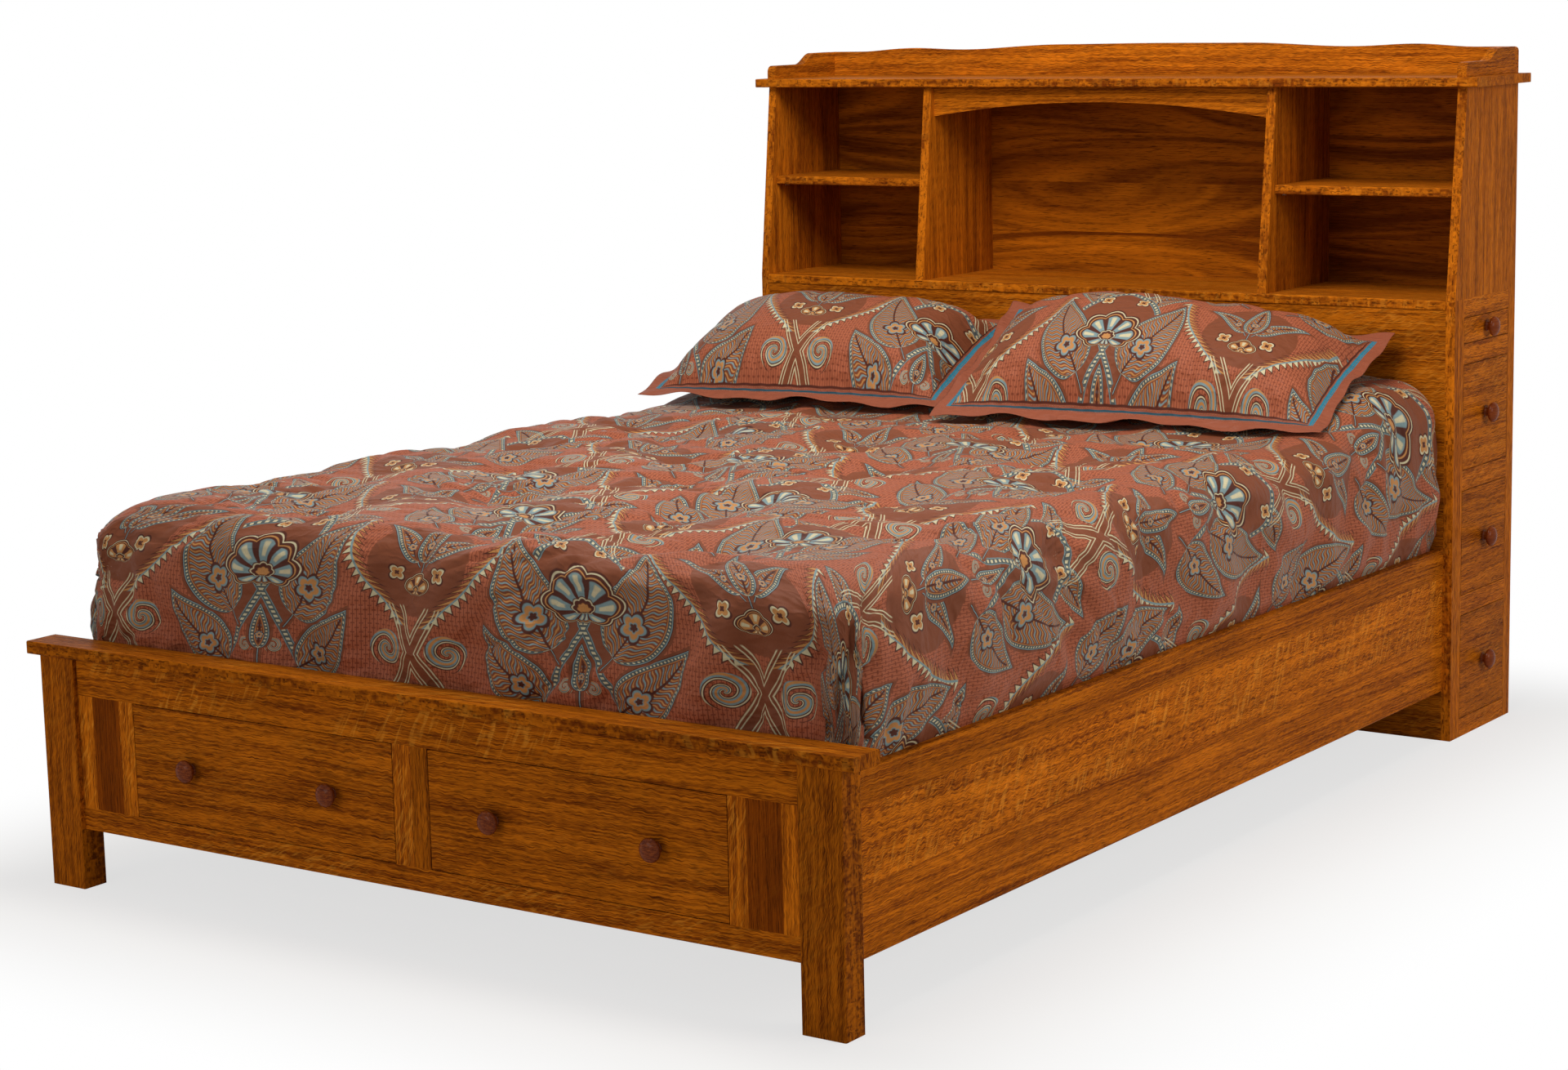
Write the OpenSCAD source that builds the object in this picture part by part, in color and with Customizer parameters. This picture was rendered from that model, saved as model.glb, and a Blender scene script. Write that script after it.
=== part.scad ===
// Bookcase storage bed in quarter-sawn oak, queen size.
// X runs across the bed, Y from the foot to the headboard, Z up. The origin lies on the floor
// under the middle of the bed. All sizes are in millimetres.

/* [Bed] */
// Clear width between the two side rails
inner_w = 1540; // [1450:1:1700]
// Clear length between the footboard legs and the headboard
inner_l = 2060; // [1980:1:2160]
// Thickness of the solid oak boards
board_t = 19; // [17:0.5:22]
// Thickness of the plywood backs
back_t = 6; // [4:0.5:9]
// Radius that eases the long edges of the shown boards
ease_r = 2.5; // [1:0.5:3.5]
// Height of the side rails' lower edge above the floor
rail_z = 97; // [60:1:130]
// Height of the side rail boards
rail_h = 280; // [260:1:300]

/* [Footboard] */
// Width of a leg, across the bed
leg_w = 77; // [65:1:90]
// Depth of a leg, along the bed
leg_d = 50; // [40:1:70]
// How far a leg stands out past the side rail
leg_out = 24; // [10:1:35]
// Height of the footboard with its cap
foot_h = 419; // [405:1:460]
// Thickness of the cap board
cap_t = 22; // [18:1:28]
// Overhang of the cap past each leg, sideways
cap_side = 25; // [10:1:40]
// Overhang of the cap in front of the legs
cap_front = 5; // [3:1:15]
// Overhang of the cap behind the legs
cap_back = 12; // [6:1:18]
// How far the face frame lies behind the legs' front
face_back = 10; // [4:1:18]
// Height of the face frame's lower edge above the floor
foot_clear = 103; // [80:1:120]
// Height of the face frame's top rail
foot_top_rail_h = 63; // [50:1:75]
// Height of the face frame's bottom rail
foot_bottom_rail_h = 38; // [30:1:50]
// Width of the stile beside each leg
end_stile_w = 34; // [25:1:45]
// Width of the darker board set between the stiles
infill_w = 62; // [40:1:80]
// Width of the stile beside each drawer
inner_stile_w = 33; // [25:1:45]
// Width of the stile between the two drawers
centre_stile_w = 72; // [56:1:90]
// Length of the tenons on the face frame's rails
tenon_l = 30; // [20:1:36]
// Thickness of the tenons on the face frame's rails
tenon_t = 8; // [6:0.5:10]

/* [Drawers] */
// Gap around an inset drawer front
front_gap = 1.5; // [1:0.25:3]
// Thickness of the drawer box's sides, front and back
box_t = 12; // [9:0.5:15]
// Thickness of the drawer bottoms
bottom_t = 6; // [4:0.5:8]
// Depth of the groove that holds a drawer bottom
groove_d = 5; // [3:0.5:7]
// Height of that groove above the box's lower edge
groove_z = 10; // [6:1:14]
// Clearance of a drawer bottom in its groove
groove_clear = 0.2; // [0.1:0.05:0.4]
// Running clearance on each side of a drawer box
box_side_clear = 1.5; // [1:0.25:3]
// Running clearance under a drawer box
box_under_clear = 0.5; // [0.3:0.1:1]
// Clearance between a drawer box and the kicker above it
box_head_clear = 12; // [6:1:14]
// Length of the foot drawer boxes
foot_box_l = 480; // [350:1:550]
// Length of the headboard drawer boxes
side_box_l = 430; // [300:1:500]
// Width of the strips that a drawer box runs on
runner_w = 24; // [18:1:30]
// Width of the guide strips beside a drawer box
guide_w = 10; // [6:1:12]
// Height of the guide strips
guide_h = 20; // [12:1:24]
// Height of the kickers over the foot drawers
foot_kicker_h = 30; // [20:1:36]
// Free length behind a closed drawer box
case_room = 20; // [10:1:40]
// Side of the square bearer behind the foot drawer case
bearer_s = 38; // [30:1:45]

/* [Knobs] */
// Diameter of a turned knob
knob_d = 38; // [30:1:44]
// Length that a knob stands out
knob_l = 26; // [22:1:32]
// Diameter of a knob's neck
knob_neck_d = 15; // [11:1:19]
// Diameter of a knob's foot on the drawer front
knob_foot_d = 20; // [17:1:26]
// Distance between the two knobs of a foot drawer
knob_spacing = 310; // [200:1:360]

/* [Bed base] */
// Number of slats
slat_count = 13; // [9:1:16]
// Width of a slat
slat_w = 90; // [60:1:110]
// Thickness of a slat
slat_t = 19; // [16:0.5:24]
// Clearance of the slats' ends to the side rails
slat_clear = 3; // [1:0.5:6]
// Clearance of the slats above the foot drawer case
slat_over = 2; // [1:0.5:6]
// Width of the cleats that carry the slats
cleat_w = 25; // [20:1:35]
// Height of the cleats
cleat_h = 38; // [30:1:45]
// Distance of the cleats' ends from the footboard and headboard
cleat_end = 70; // [60:1:100]
// Width of the centre beam and its feet
beam_w = 38; // [30:1:50]
// Height of the centre beam
beam_h = 89; // [70:1:110]
// Thickness of the rail brackets' steel
bracket_t = 3; // [2:0.5:4]
// Length of a bracket's arm on the side rail
bracket_l = 55; // [40:1:58]
// Length of a bracket's arm on the leg or headboard
bracket_end_l = 30; // [20:1:33]
// Height of a rail bracket
bracket_h = 90; // [60:1:110]
// Diameter of the screws in the brackets
screw_d = 5; // [4:0.5:6]
// Length of those screws in the wood
screw_l = 14; // [10:1:16]
// Diameter of the screws' heads
screw_head_d = 9.5; // [8:0.5:11]
// Height of the screws' heads
screw_head_h = 2.5; // [2:0.5:3.5]

/* [Headboard case] */
// Depth of the headboard, along the bed
head_d = 290; // [260:1:340]
// Width of the side frame's front stile
front_stile_w = 43; // [35:1:55]
// Width of the side frame's back stile
rear_stile_w = 33; // [28:1:45]
// Height of the side frame's lowest rail
low_rail_h = 36; // [28:1:50]
// Height of the rails between the side drawers
mid_rail_h = 39; // [30:1:48]
// Height of the rail over the top side drawer
high_rail_h = 36; // [28:1:44]
// Height of the opening of a deep side drawer
deep_open_h = 206; // [150:1:220]
// Height of the opening of the shallow side drawer on top
shallow_open_h = 51; // [46:1:70]
// Number of deep drawers in each side
deep_count = 3; // [2:1:3]

/* [Bookcase] */
// Height of the bookcase between its deck and its top board
bookcase_h = 402; // [330:1:450]
// How far the bookcase's sides slope back at their top
slope_back = 44; // [20:1:70]
// Thickness of the deck board
deck_t = 19; // [16:0.5:22]
// How far the deck stands out of the front panel
deck_proud = 2; // [0:0.5:5]
// Thickness of the top board
top_t = 18; // [16:0.5:24]
// Overhang of the top board past each side
top_side = 26; // [10:1:29]
// Overhang of the top board in front of the sides
top_front = 15; // [5:1:25]
// Clear width of the middle bay
bay_w = 781; // [600:1:900]
// Height of the arched valance at its ends
valance_h = 61; // [45:1:80]
// Rise of the valance's arch
arch_rise = 30; // [15:1:36]
// How far the valance lies behind the dividers' top front corners
valance_back = 9; // [3:1:20]
// Height of the shelves' upper face above the deck
shelf_h = 211; // [150:1:250]
// Thickness of the shelves
shelf_t = 18; // [15:0.5:20]
// How far the shelves lie behind the sloped front
shelf_back = 14; // [8:1:25]
// Clearance of the shelves' ends and back
shelf_clear = 0.5; // [0.3:0.1:1]
// Diameter of the shelf pins
pin_d = 5; // [4:0.5:6]
// Length that a shelf pin stands out of the wood
pin_out = 8; // [6:1:10]
// Depth of a shelf pin in the wood
pin_in = 9; // [7:1:12]
// Distance of the shelf pins from the shelf's front and back edge
pin_edge = 35; // [25:1:50]

/* [Gallery] */
// Height of the gallery's back board at its ends
gallery_end_h = 51; // [44:1:60]
// Height of the gallery's back board in the middle
gallery_mid_h = 64; // [60:1:75]
// Height of the low dips of the wave
gallery_dip_h = 54; // [52:1:56]
// Height of the small crests near the ends
gallery_crest_h = 58; // [57:1:62]
// Radius of the gallery's top corners
gallery_r = 8; // [4:1:15]
// Height of the returns at the front
return_low_h = 28; // [20:1:34]
// Distance of a return's nose behind the top board's front edge
return_back = 9.5; // [4:0.5:20]
// Radius of a return's nose
nose_r = 14; // [8:1:16]
// Length of the S-curve on a return
scroll_l = 56; // [40:1:80]
// Distance from the S-curve's top to the gallery's back board
scroll_back = 74; // [50:1:90]

/* [Bedding] */
// Room between the mattress and each side rail
mattress_side = 15; // [14:0.5:30]
// Room between the legs and the foot of the mattress
mattress_foot = 37; // [36:1:60]
// Room between the mattress and the headboard
mattress_head = 8; // [6:1:20]
// Height of the mattress
mattress_h = 240; // [220:1:260]
// Corner radius of the mattress, in plan
mattress_r = 90; // [80:1:110]
// Thickness of the comforter on top of the mattress
comforter_t = 45; // [40:1:55]
// Gap between the comforter and the wood beside it
comforter_gap = 1.5; // [1:0.5:3]
// Gap between the comforter and the mattress inside it
comforter_fit = 0.5; // [0.3:0.1:1]
// How far the comforter's drop swells out over the side rails
comforter_bulge = 16; // [8:1:20]
// Depth of the folds in the comforter's drop
fold_d = 6; // [3:1:8]
// Depth of the quilting's dips in the comforter's top
quilt_d = 12; // [6:1:14]
// Gap between the comforter and the footboard's cap
comforter_foot = 13; // [8:1:14]
// Height that the comforter rises towards the headboard
comforter_rise = 74; // [50:1:85]
// Distance from the headboard where that rise ends
rise_back = 130; // [80:5:180]
// Length of the slope up to it
rise_l = 340; // [300:5:400]
// Width of the right pillow sham with its flange
sham_w = 815; // [760:1:820]
// Width of the left pillow sham, which ends where the right one covers it
sham_left_w = 700; // [640:1:710]
// Height of a pillow sham with its flange
sham_h = 430; // [380:1:440]
// Fullness of a pillow sham, upwards
sham_crown = 108; // [80:1:120]
// Height that the right sham's top left corner is propped up
sham_twist = 50; // [0:1:60]
// Height that the left sham's top left corner hangs down
sham_droop = 15; // [0:1:40]
// Angle at which the shams lean back
sham_lean = 19; // [15:1:22]
// Angle that the left sham is turned
sham_left_turn = 7; // [0:0.5:8]
// Angle that the right sham is turned
sham_right_turn = 5; // [0:0.5:6]
// Distance of the left sham's middle from the headboard
sham_left_back = 262; // [260:1:300]
// Distance of the right sham's middle from the headboard
sham_right_back = 250; // [250:1:300]
// How far left of the middle the two shams meet
sham_meet = 98; // [60:1:110]
// Gap between the two shams
sham_apart = 5; // [4:1:12]
// Gap under the shams
sham_under = 0.5; // [0.5:0.5:4]
// Width of the flange around a pillow sham
flange_w = 40; // [30:1:50]

/* [Hidden] */
$fn = 64;
EASE_STEPS = 3;
CURVE_STEPS = 8;
TENON_SHOULDER = 9;
GLUE = 0.1;
DOVETAIL_PITCH = 44;
DOVETAIL_SLOPE = 1 / 6;
DOVETAIL_SHARE = 0.36;
EPS = 1;

// Places across the bed, measured from its middle
rail_in_x = inner_w / 2;
rail_out_x = rail_in_x + board_t;
leg_out_x = rail_out_x + leg_out;
leg_in_x = leg_out_x - leg_w;
head_out_x = rail_out_x + board_t;

// Places along the bed
foremost = min(face_back - knob_l, -cap_front);
total_l = leg_d + inner_l + head_d - foremost;
leg_y = -total_l / 2 - foremost;
leg_back_y = leg_y + leg_d;
face_y = leg_y + face_back;
face_rear_y = face_y + board_t;
head_y = leg_back_y + inner_l;
rear_y = head_y + head_d;

// The footboard's openings
open_z = foot_clear + foot_bottom_rail_h;
open_h = foot_h - cap_t - foot_top_rail_h - open_z;
open_top_z = open_z + open_h;
open_in_x = centre_stile_w / 2;
open_w = leg_in_x - open_in_x - end_stile_w - infill_w - inner_stile_w;
open_out_x = open_in_x + open_w;
foot_box_h = open_h - foot_kicker_h - box_head_clear - box_under_clear;
case_rear_y = face_rear_y + foot_box_l + case_room;

// The slats, the brackets under their cleats and the bedding
slat_z = open_top_z + slat_over;
bracket_z = (rail_z + slat_z - cleat_h - bracket_h) / 2;
slat_top_z = slat_z + slat_t;
mattress_top_z = slat_top_z + mattress_h;

// The headboard's openings, counted from the floor up
side_opens = [for (i = [0 : deep_count]) i < deep_count ? deep_open_h : shallow_open_h];
function side_open_z(i) = low_rail_h + i * (deep_open_h + mid_rail_h);
deck_z = side_open_z(deep_count) + shallow_open_h + high_rail_h;
deck_low_z = deck_z - deck_t;
side_open_y = head_y + front_stile_w;
side_open_end_y = rear_y - rear_stile_w;
side_open_w = side_open_end_y - side_open_y;
partition_x = rail_out_x - side_box_l - case_room;

// The bookcase
top_z = deck_z + bookcase_h;
top_y = head_y + slope_back - top_front;
gallery_z = top_z + top_t;
divider_x = bay_w / 2 + board_t;
shelf_z = deck_z + shelf_h - shelf_t;
shelf_y = head_y + slope_back * shelf_h / bookcase_h + shelf_back;
shelf_rear_y = rear_y - back_t - shelf_clear;

OAK = "#93501f";
OAK_DARK = "#7c3f17";
OAK_LIGHT = "#a65e27";
BOX_WOOD = "#c49a66";
PLY = "#8a4c20";
PINE = "#c8a26e";
STEEL = "#55575a";
TICKING = "#e4ded0";
CLOTH = "#9a5a44";

SIDES = [["left", -1], ["right", 1]];
function foot_name(side) = str("foot_drawer_", side);
function side_name(side, i) = str("side_drawer_", side, "_", i);

// Helpers

function mix(a, b, k) = a + (b - a) * k;
function clamp(v, low, high) = min(max(v, low), high);
function smooth(k) = (1 - cos(180 * clamp(k, 0, 1))) / 2;

// A rectangle with eased corners
function eased(w, h, r) = [
    for (c = [[w - r, h - r, 0], [r, h - r, 90], [r, r, 180], [w - r, r, 270]])
        for (k = [0 : EASE_STEPS])
            let (a = c[2] + 90 * k / EASE_STEPS)
            [c[0] + r * cos(a), c[1] + r * sin(a)]
];

// An outline drawn in Y and Z, pushed along X from x0 to x1
module along_x(x0, x1, points) {
    translate([x0, 0, 0])
        rotate([90, 0, 90])
        linear_extrude(x1 - x0)
        polygon(points);
}

// An outline drawn in X and Z, pushed along Y from y0 to y1
module along_y(y0, y1, points) {
    translate([0, y1, 0])
        rotate([90, 0, 0])
        linear_extrude(y1 - y0)
        polygon(points);
}

// A plain board between two opposite corners
module block(low, high) {
    translate(low)
        cube(high - low);
}

// Boards with eased long edges, lying along X, along Y and upright
module board_x(low, high) {
    translate([0, low.y, low.z])
        along_x(low.x, high.x, eased(high.y - low.y, high.z - low.z, ease_r));
}

module board_y(low, high) {
    translate([low.x, 0, low.z])
        along_y(low.y, high.y, eased(high.x - low.x, high.z - low.z, ease_r));
}

module board_z(low, high) {
    translate(low)
        linear_extrude(high.z - low.z)
        polygon(eased(high.x - low.x, high.y - low.y, ease_r));
}

// A copy on each side of the bed
module both_sides() {
    children();
    mirror([1, 0, 0])
        children();
}

// Footboard

// The tenon on a face frame rail's right end, grown by a clearance for its mortise
module rail_tenon(z0, z1, clear) {
    mid_y = face_y + board_t / 2;
    block([leg_in_x - EPS, mid_y - tenon_t / 2 - clear, z0 + TENON_SHOULDER - clear],
        [leg_in_x + tenon_l + clear * 5, mid_y + tenon_t / 2 + clear, z1 - TENON_SHOULDER + clear]);
}

module foot_leg() {
    difference() {
        board_z([leg_in_x, leg_y, 0], [leg_out_x, leg_back_y, foot_h - cap_t]);
        rail_tenon(open_top_z, foot_h - cap_t, GLUE);
        rail_tenon(foot_clear, open_z, GLUE);
        bracket_screws()
            screw_hole();
    }
}

module foot_leg_left() {
    color(OAK)
        mirror([1, 0, 0])
        foot_leg();
}

module foot_leg_right() {
    color(OAK)
        foot_leg();
}

module foot_cap() {
    half = leg_out_x + cap_side;
    color(OAK)
        board_x([-half, leg_y - cap_front, foot_h - cap_t], [half, leg_back_y + cap_back, foot_h]);
}

module face_rail(z0, z1) {
    block([-leg_in_x, face_y, z0], [leg_in_x, face_rear_y, z1]);
    both_sides()
        rail_tenon(z0, z1, 0);
}

module foot_top_rail() {
    color(OAK_LIGHT)
        face_rail(open_top_z, foot_h - cap_t);
}

module foot_bottom_rail() {
    color(OAK_LIGHT)
        face_rail(foot_clear, open_z);
}

// An upright of the face frame between two places across the bed
module face_upright(x0, x1) {
    block([x0, face_y, open_z], [x1, face_rear_y, open_top_z]);
}

module foot_stiles() {
    color(OAK_LIGHT) {
        face_upright(-centre_stile_w / 2, centre_stile_w / 2);
        both_sides() {
            face_upright(open_out_x, open_out_x + inner_stile_w);
            face_upright(leg_in_x - end_stile_w, leg_in_x);
        }
    }
}

module foot_infill_boards() {
    color(OAK_DARK)
        both_sides()
        face_upright(open_out_x + inner_stile_w, leg_in_x - end_stile_w);
}

// The case behind the face frame: partitions, runners and kickers, back and bearer
module foot_drawer_case() {
    color(PINE) {
        both_sides() {
            for (x = [open_in_x - board_t, open_out_x])
                block([x, face_rear_y, foot_clear], [x + board_t, case_rear_y, open_top_z]);
            for (x = [open_in_x + GLUE, open_out_x - runner_w - GLUE]) {
                block([x, face_rear_y, foot_clear], [x + runner_w, case_rear_y, open_z]);
                block(
                    [x, face_rear_y, open_top_z - foot_kicker_h],
                    [x + runner_w, case_rear_y, open_top_z]
                );
            }
        }
        back_x = open_out_x + board_t;
        back_y = case_rear_y + GLUE;
        block([-back_x, back_y, foot_clear], [back_x, back_y + board_t, open_top_z]);
        bearer_y = back_y + board_t + GLUE;
        block([-rail_in_x, bearer_y, open_z], [rail_in_x, bearer_y + bearer_s, open_z + bearer_s]);
    }
}

// Drawers. A drawer is drawn facing -Y, with its origin in the middle of the opening's lower
// edge, at the back of the frame that it shuts into.

module drawer_front(w, h) {
    color(OAK_LIGHT)
        block([front_gap - w / 2, -board_t, front_gap], [w / 2 - front_gap, 0, h - front_gap]);
}

function tail_count(h) = max(1, round(h / DOVETAIL_PITCH));
function tail_mid(h, i) = (i + 0.5) * h / tail_count(h);
function tail_half(h, depth) = DOVETAIL_SHARE * h / tail_count(h) - depth * DOVETAIL_SLOPE;

// The socket's outline in Y and Z, a hairline wider than its tail and run out past both faces
function socket_points(h, i, out) = [
    for (p = [[-out, -1], [box_t + out, -1], [box_t + out, 1], [-out, 1]])
        [p[0], tail_mid(h, i) + p[1] * (tail_half(h, p[0]) + GLUE)]
];

// A box side's outline in Y and Z, with tails at both ends
function tailed_side(l, h) =
    let (root = box_t + GLUE)
    concat(
        [[root, 0], [l - root, 0]],
        [for (i = [0 : tail_count(h) - 1])
            for (p = [[root, -1], [0, -1], [0, 1], [root, 1]])
                [l - p[0], tail_mid(h, i) + p[1] * tail_half(h, p[0])]],
        [[l - root, h], [root, h]],
        [for (i = [tail_count(h) - 1 : -1 : 0])
            for (p = [[root, 1], [0, 1], [0, -1], [root, -1]])
                [p[0], tail_mid(h, i) + p[1] * tail_half(h, p[0])]]
    );

// The room for a drawer bottom, grown by a clearance into its grooves
module bottom_panel(w, l, clear) {
    reach = box_t - groove_d;
    block([reach - clear - w / 2, reach - clear, groove_z - clear],
        [w / 2 - reach + clear, l - reach + clear, groove_z + bottom_t + clear]);
}

// A box front or back, its ends cut out between the pins
module pinned_end(w, h) {
    difference() {
        block([-w / 2, 0, 0], [w / 2, box_t, h]);
        for (i = [0 : tail_count(h) - 1])
            for (x = [-w / 2 - EPS, w / 2 - box_t - GLUE])
                along_x(x, x + box_t + EPS + GLUE, socket_points(h, i, EPS));
    }
}

// A dovetailed drawer box whose bottom runs in grooves
module drawer_box(w, l, h) {
    color(BOX_WOOD)
        translate([0, 0, box_under_clear]) {
            for (x = [-w / 2, w / 2 - box_t])
                difference() {
                    along_x(x, x + box_t, tailed_side(l, h));
                    bottom_panel(w, l, groove_clear);
                }
            difference() {
                pinned_end(w, h);
                bottom_panel(w, l, groove_clear);
            }
            difference() {
                translate([0, l, 0])
                    mirror([0, 1, 0])
                    pinned_end(w, h);
                bottom_panel(w, l, groove_clear);
            }
            bottom_panel(w, l, 0);
        }
}

// The turned outline of a knob, as radius and height over the drawer front
knob_under_h = knob_l * 0.36;
knob_edge_h = knob_l * 0.62;
knob_profile = concat(
    [[0, 0], [knob_foot_d / 2, 0]],
    [for (k = [0 : CURVE_STEPS])
        let (a = 90 * k / CURVE_STEPS)
        [mix(knob_foot_d, knob_neck_d, sin(a)) / 2, mix(1, knob_under_h - 1, 1 - cos(a))]],
    [for (k = [0 : CURVE_STEPS])
        let (a = 90 * k / CURVE_STEPS)
        [mix(knob_neck_d, knob_d, sin(a)) / 2, mix(knob_under_h, knob_edge_h, 1 - cos(a))]],
    [for (k = [1 : CURVE_STEPS - 1])
        let (a = 90 * k / CURVE_STEPS)
        [knob_d / 2 * cos(a), mix(knob_edge_h, knob_l, sin(a))]],
    [[0, knob_l]]
);

// A knob standing on a drawer front, at x and z of the drawer's own frame
module knob(x, z) {
    color(OAK_DARK)
        translate([x, -board_t - GLUE, z])
        rotate([90, 0, 0])
        rotate_extrude()
        polygon(knob_profile);
}

module at_foot_opening(side) {
    translate([side * (open_in_x + open_w / 2), face_rear_y, open_z])
        children();
}

module at_side_opening(side, i) {
    translate([side * rail_out_x, side_open_y + side_open_w / 2, side_open_z(i)])
        rotate([0, 0, side * 90])
        children();
}

module foot_drawer_front(side) {
    at_foot_opening(side)
        drawer_front(open_w, open_h);
}

module foot_drawer_box(side) {
    at_foot_opening(side)
        drawer_box(open_w - 2 * box_side_clear, foot_box_l, foot_box_h);
}

module foot_drawer_knobs(side) {
    at_foot_opening(side)
        for (x = [-1, 1])
            knob(x * knob_spacing / 2, open_h / 2);
}

// The headboard drawers, where i counts from the floor up
module side_drawer_front(side, i) {
    at_side_opening(side, i) {
        drawer_front(side_open_w, side_opens[i]);
        knob(0, side_opens[i] / 2);
    }
}

module side_drawer_box(side, i) {
    box_h = side_opens[i] - box_head_clear - box_under_clear;
    at_side_opening(side, i)
        drawer_box(side_open_w - 2 * box_side_clear, side_box_l, box_h);
}

// Rails and base

// A pan-head screw that points up and stands in from the bracket's face, and its hole
module screw() {
    translate([0, 0, -screw_head_h - GLUE])
        cylinder(h = screw_head_h, d = screw_head_d);
    translate([0, 0, -2 * GLUE])
        cylinder(h = bracket_t + screw_l, d = screw_d);
}

module screw_hole() {
    translate([0, 0, -EPS])
        cylinder(h = EPS + bracket_t + screw_l, d = screw_d + 2 * GLUE);
}

// Places on the right-hand brackets: two screws in each arm
module bracket_screws() {
    for (k = [1 / 4, 3 / 4]) {
        z = bracket_z + k * bracket_h;
        for (y = [leg_back_y + bracket_l - screw_head_d, head_y - bracket_l + screw_head_d])
            translate([rail_in_x - bracket_t, y, z])
            rotate([0, 90, 0])
            children();
        translate([rail_in_x - bracket_end_l + screw_head_d, leg_back_y + bracket_t, z])
            rotate([90, 0, 0])
            children();
        translate([rail_in_x - bracket_end_l + screw_head_d, head_y - bracket_t, z])
            rotate([-90, 0, 0])
            children();
    }
}

module side_rail() {
    difference() {
        board_y([rail_in_x, leg_back_y, rail_z], [rail_out_x, head_y, rail_z + rail_h]);
        bracket_screws()
            screw_hole();
    }
}

module side_rail_left() {
    color(OAK)
        mirror([1, 0, 0])
        side_rail();
}

module side_rail_right() {
    color(OAK)
        side_rail();
}

module slat_cleats() {
    color(PINE)
        both_sides()
        block([rail_in_x - cleat_w, leg_back_y + cleat_end, slat_z - cleat_h],
            [rail_in_x, head_y - cleat_end, slat_z]);
}

module slats() {
    first_y = leg_back_y + cleat_end;
    last_y = head_y - cleat_end - slat_w;
    half = rail_in_x - slat_clear;
    color(PINE)
        for (i = [0 : slat_count - 1]) {
            y = mix(first_y, last_y, i / (slat_count - 1));
            block([-half, y, slat_z], [half, y + slat_w, slat_top_z]);
        }
}

// The beam under the slats' middle, on two feet
module centre_beam() {
    start_y = case_rear_y + GLUE + board_t;
    color(PINE) {
        block([-beam_w / 2, start_y, slat_z - beam_h], [beam_w / 2, head_y, slat_z]);
        for (k = [1 / 3, 2 / 3]) {
            y = mix(start_y, head_y, k);
            block([-beam_w / 2, y, 0], [beam_w / 2, y + beam_w, slat_z - beam_h - GLUE]);
        }
    }
}

// An angle bracket in each corner between a rail and the footboard or headboard, with its screws
module rail_brackets() {
    color(STEEL)
        both_sides() {
            difference() {
                for (end = [[leg_back_y, 1], [head_y, -1]])
                    translate([rail_in_x, end[0], bracket_z])
                    scale([1, end[1], 1])
                    linear_extrude(bracket_h)
                    polygon([[0, 0], [0, bracket_l], [-bracket_t, bracket_l], [-bracket_t, bracket_t],
                        [-bracket_end_l, bracket_t], [-bracket_end_l, 0]]);
                bracket_screws()
                    screw_hole();
            }
            bracket_screws()
                screw();
        }
}

// Headboard case

module head_side_frame(side) {
    color(OAK)
        scale([side, 1, 1]) {
            block([rail_out_x, head_y, 0], [head_out_x, side_open_y, deck_z]);
            block([rail_out_x, side_open_end_y, 0], [head_out_x, rear_y, deck_z]);
            for (i = [0 : deep_count + 1]) {
                z0 = i == 0 ? 0 : side_open_z(i - 1) + side_opens[i - 1];
                z1 = i > deep_count ? deck_z : side_open_z(i);
                block([rail_out_x, side_open_y + GLUE, z0], [head_out_x, side_open_end_y - GLUE, z1]);
            }
        }
}

module head_front_panel() {
    color(OAK)
        difference() {
            block([-rail_out_x, head_y, 0], [rail_out_x, head_y + board_t, deck_low_z]);
            both_sides()
                bracket_screws()
                screw_hole();
        }
}

module head_back_panel() {
    color(PLY)
        block([-rail_out_x, rear_y - back_t, low_rail_h], [rail_out_x, rear_y, deck_low_z]);
}

module head_partitions() {
    color(PINE)
        both_sides()
        block([partition_x - board_t, head_y + board_t, 0], [partition_x, rear_y - back_t, deck_low_z]);
}

// The web strips that the side drawers run on and under, with their guides
module head_runners() {
    front_y = side_open_y - guide_w;
    rear_y0 = side_open_end_y - runner_w;
    color(PINE)
        both_sides()
        for (i = [0 : deep_count + 1]) {
            z0 = i == 0 ? 0 : side_open_z(i - 1) + side_opens[i - 1];
            z1 = i > deep_count ? deck_low_z : side_open_z(i);
            for (y = [front_y, rear_y0])
                block([partition_x, y, z0], [rail_out_x, y + guide_w + runner_w, z1]);
            if (i <= deep_count)
                for (y = [front_y, side_open_end_y])
                    block([partition_x, y, z1 + GLUE], [rail_out_x, y + guide_w, z1 + guide_h]);
        }
}

// Bookcase

module deck() {
    color(OAK)
        board_x([-rail_out_x, head_y - deck_proud, deck_low_z], [rail_out_x, rear_y, deck_z]);
}

// An upright of the bookcase with its sloped front edge, and holes for the shelf pins in the
// faces that pin_sides names: -1 for the left face, 1 for the right face
module upright(x0, end_y, pin_sides) {
    difference() {
        along_x(
            x0,
            x0 + board_t,
            [[head_y, deck_z], [end_y, deck_z], [end_y, top_z], [head_y + slope_back, top_z]]
        );
        for (s = pin_sides)
            for (y = [shelf_y + pin_edge, shelf_rear_y - pin_edge])
                translate([x0 + (s > 0 ? board_t - pin_in : -EPS), y, shelf_z - pin_d / 2])
                rotate([0, 90, 0])
                cylinder(h = pin_in + EPS, d = pin_d);
    }
}

module bookcase_side_left() {
    color(OAK)
        upright(-head_out_x, rear_y, [1]);
}

module bookcase_side_right() {
    color(OAK)
        upright(rail_out_x, rear_y, [-1]);
}

module divider_left() {
    color(OAK)
        upright(-divider_x, rear_y - back_t, [-1]);
}

module divider_right() {
    color(OAK)
        upright(bay_w / 2, rear_y - back_t, [1]);
}

module bookcase_back() {
    color(PLY)
        block([-rail_out_x, rear_y - back_t, deck_z], [rail_out_x, rear_y, top_z]);
}

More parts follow.
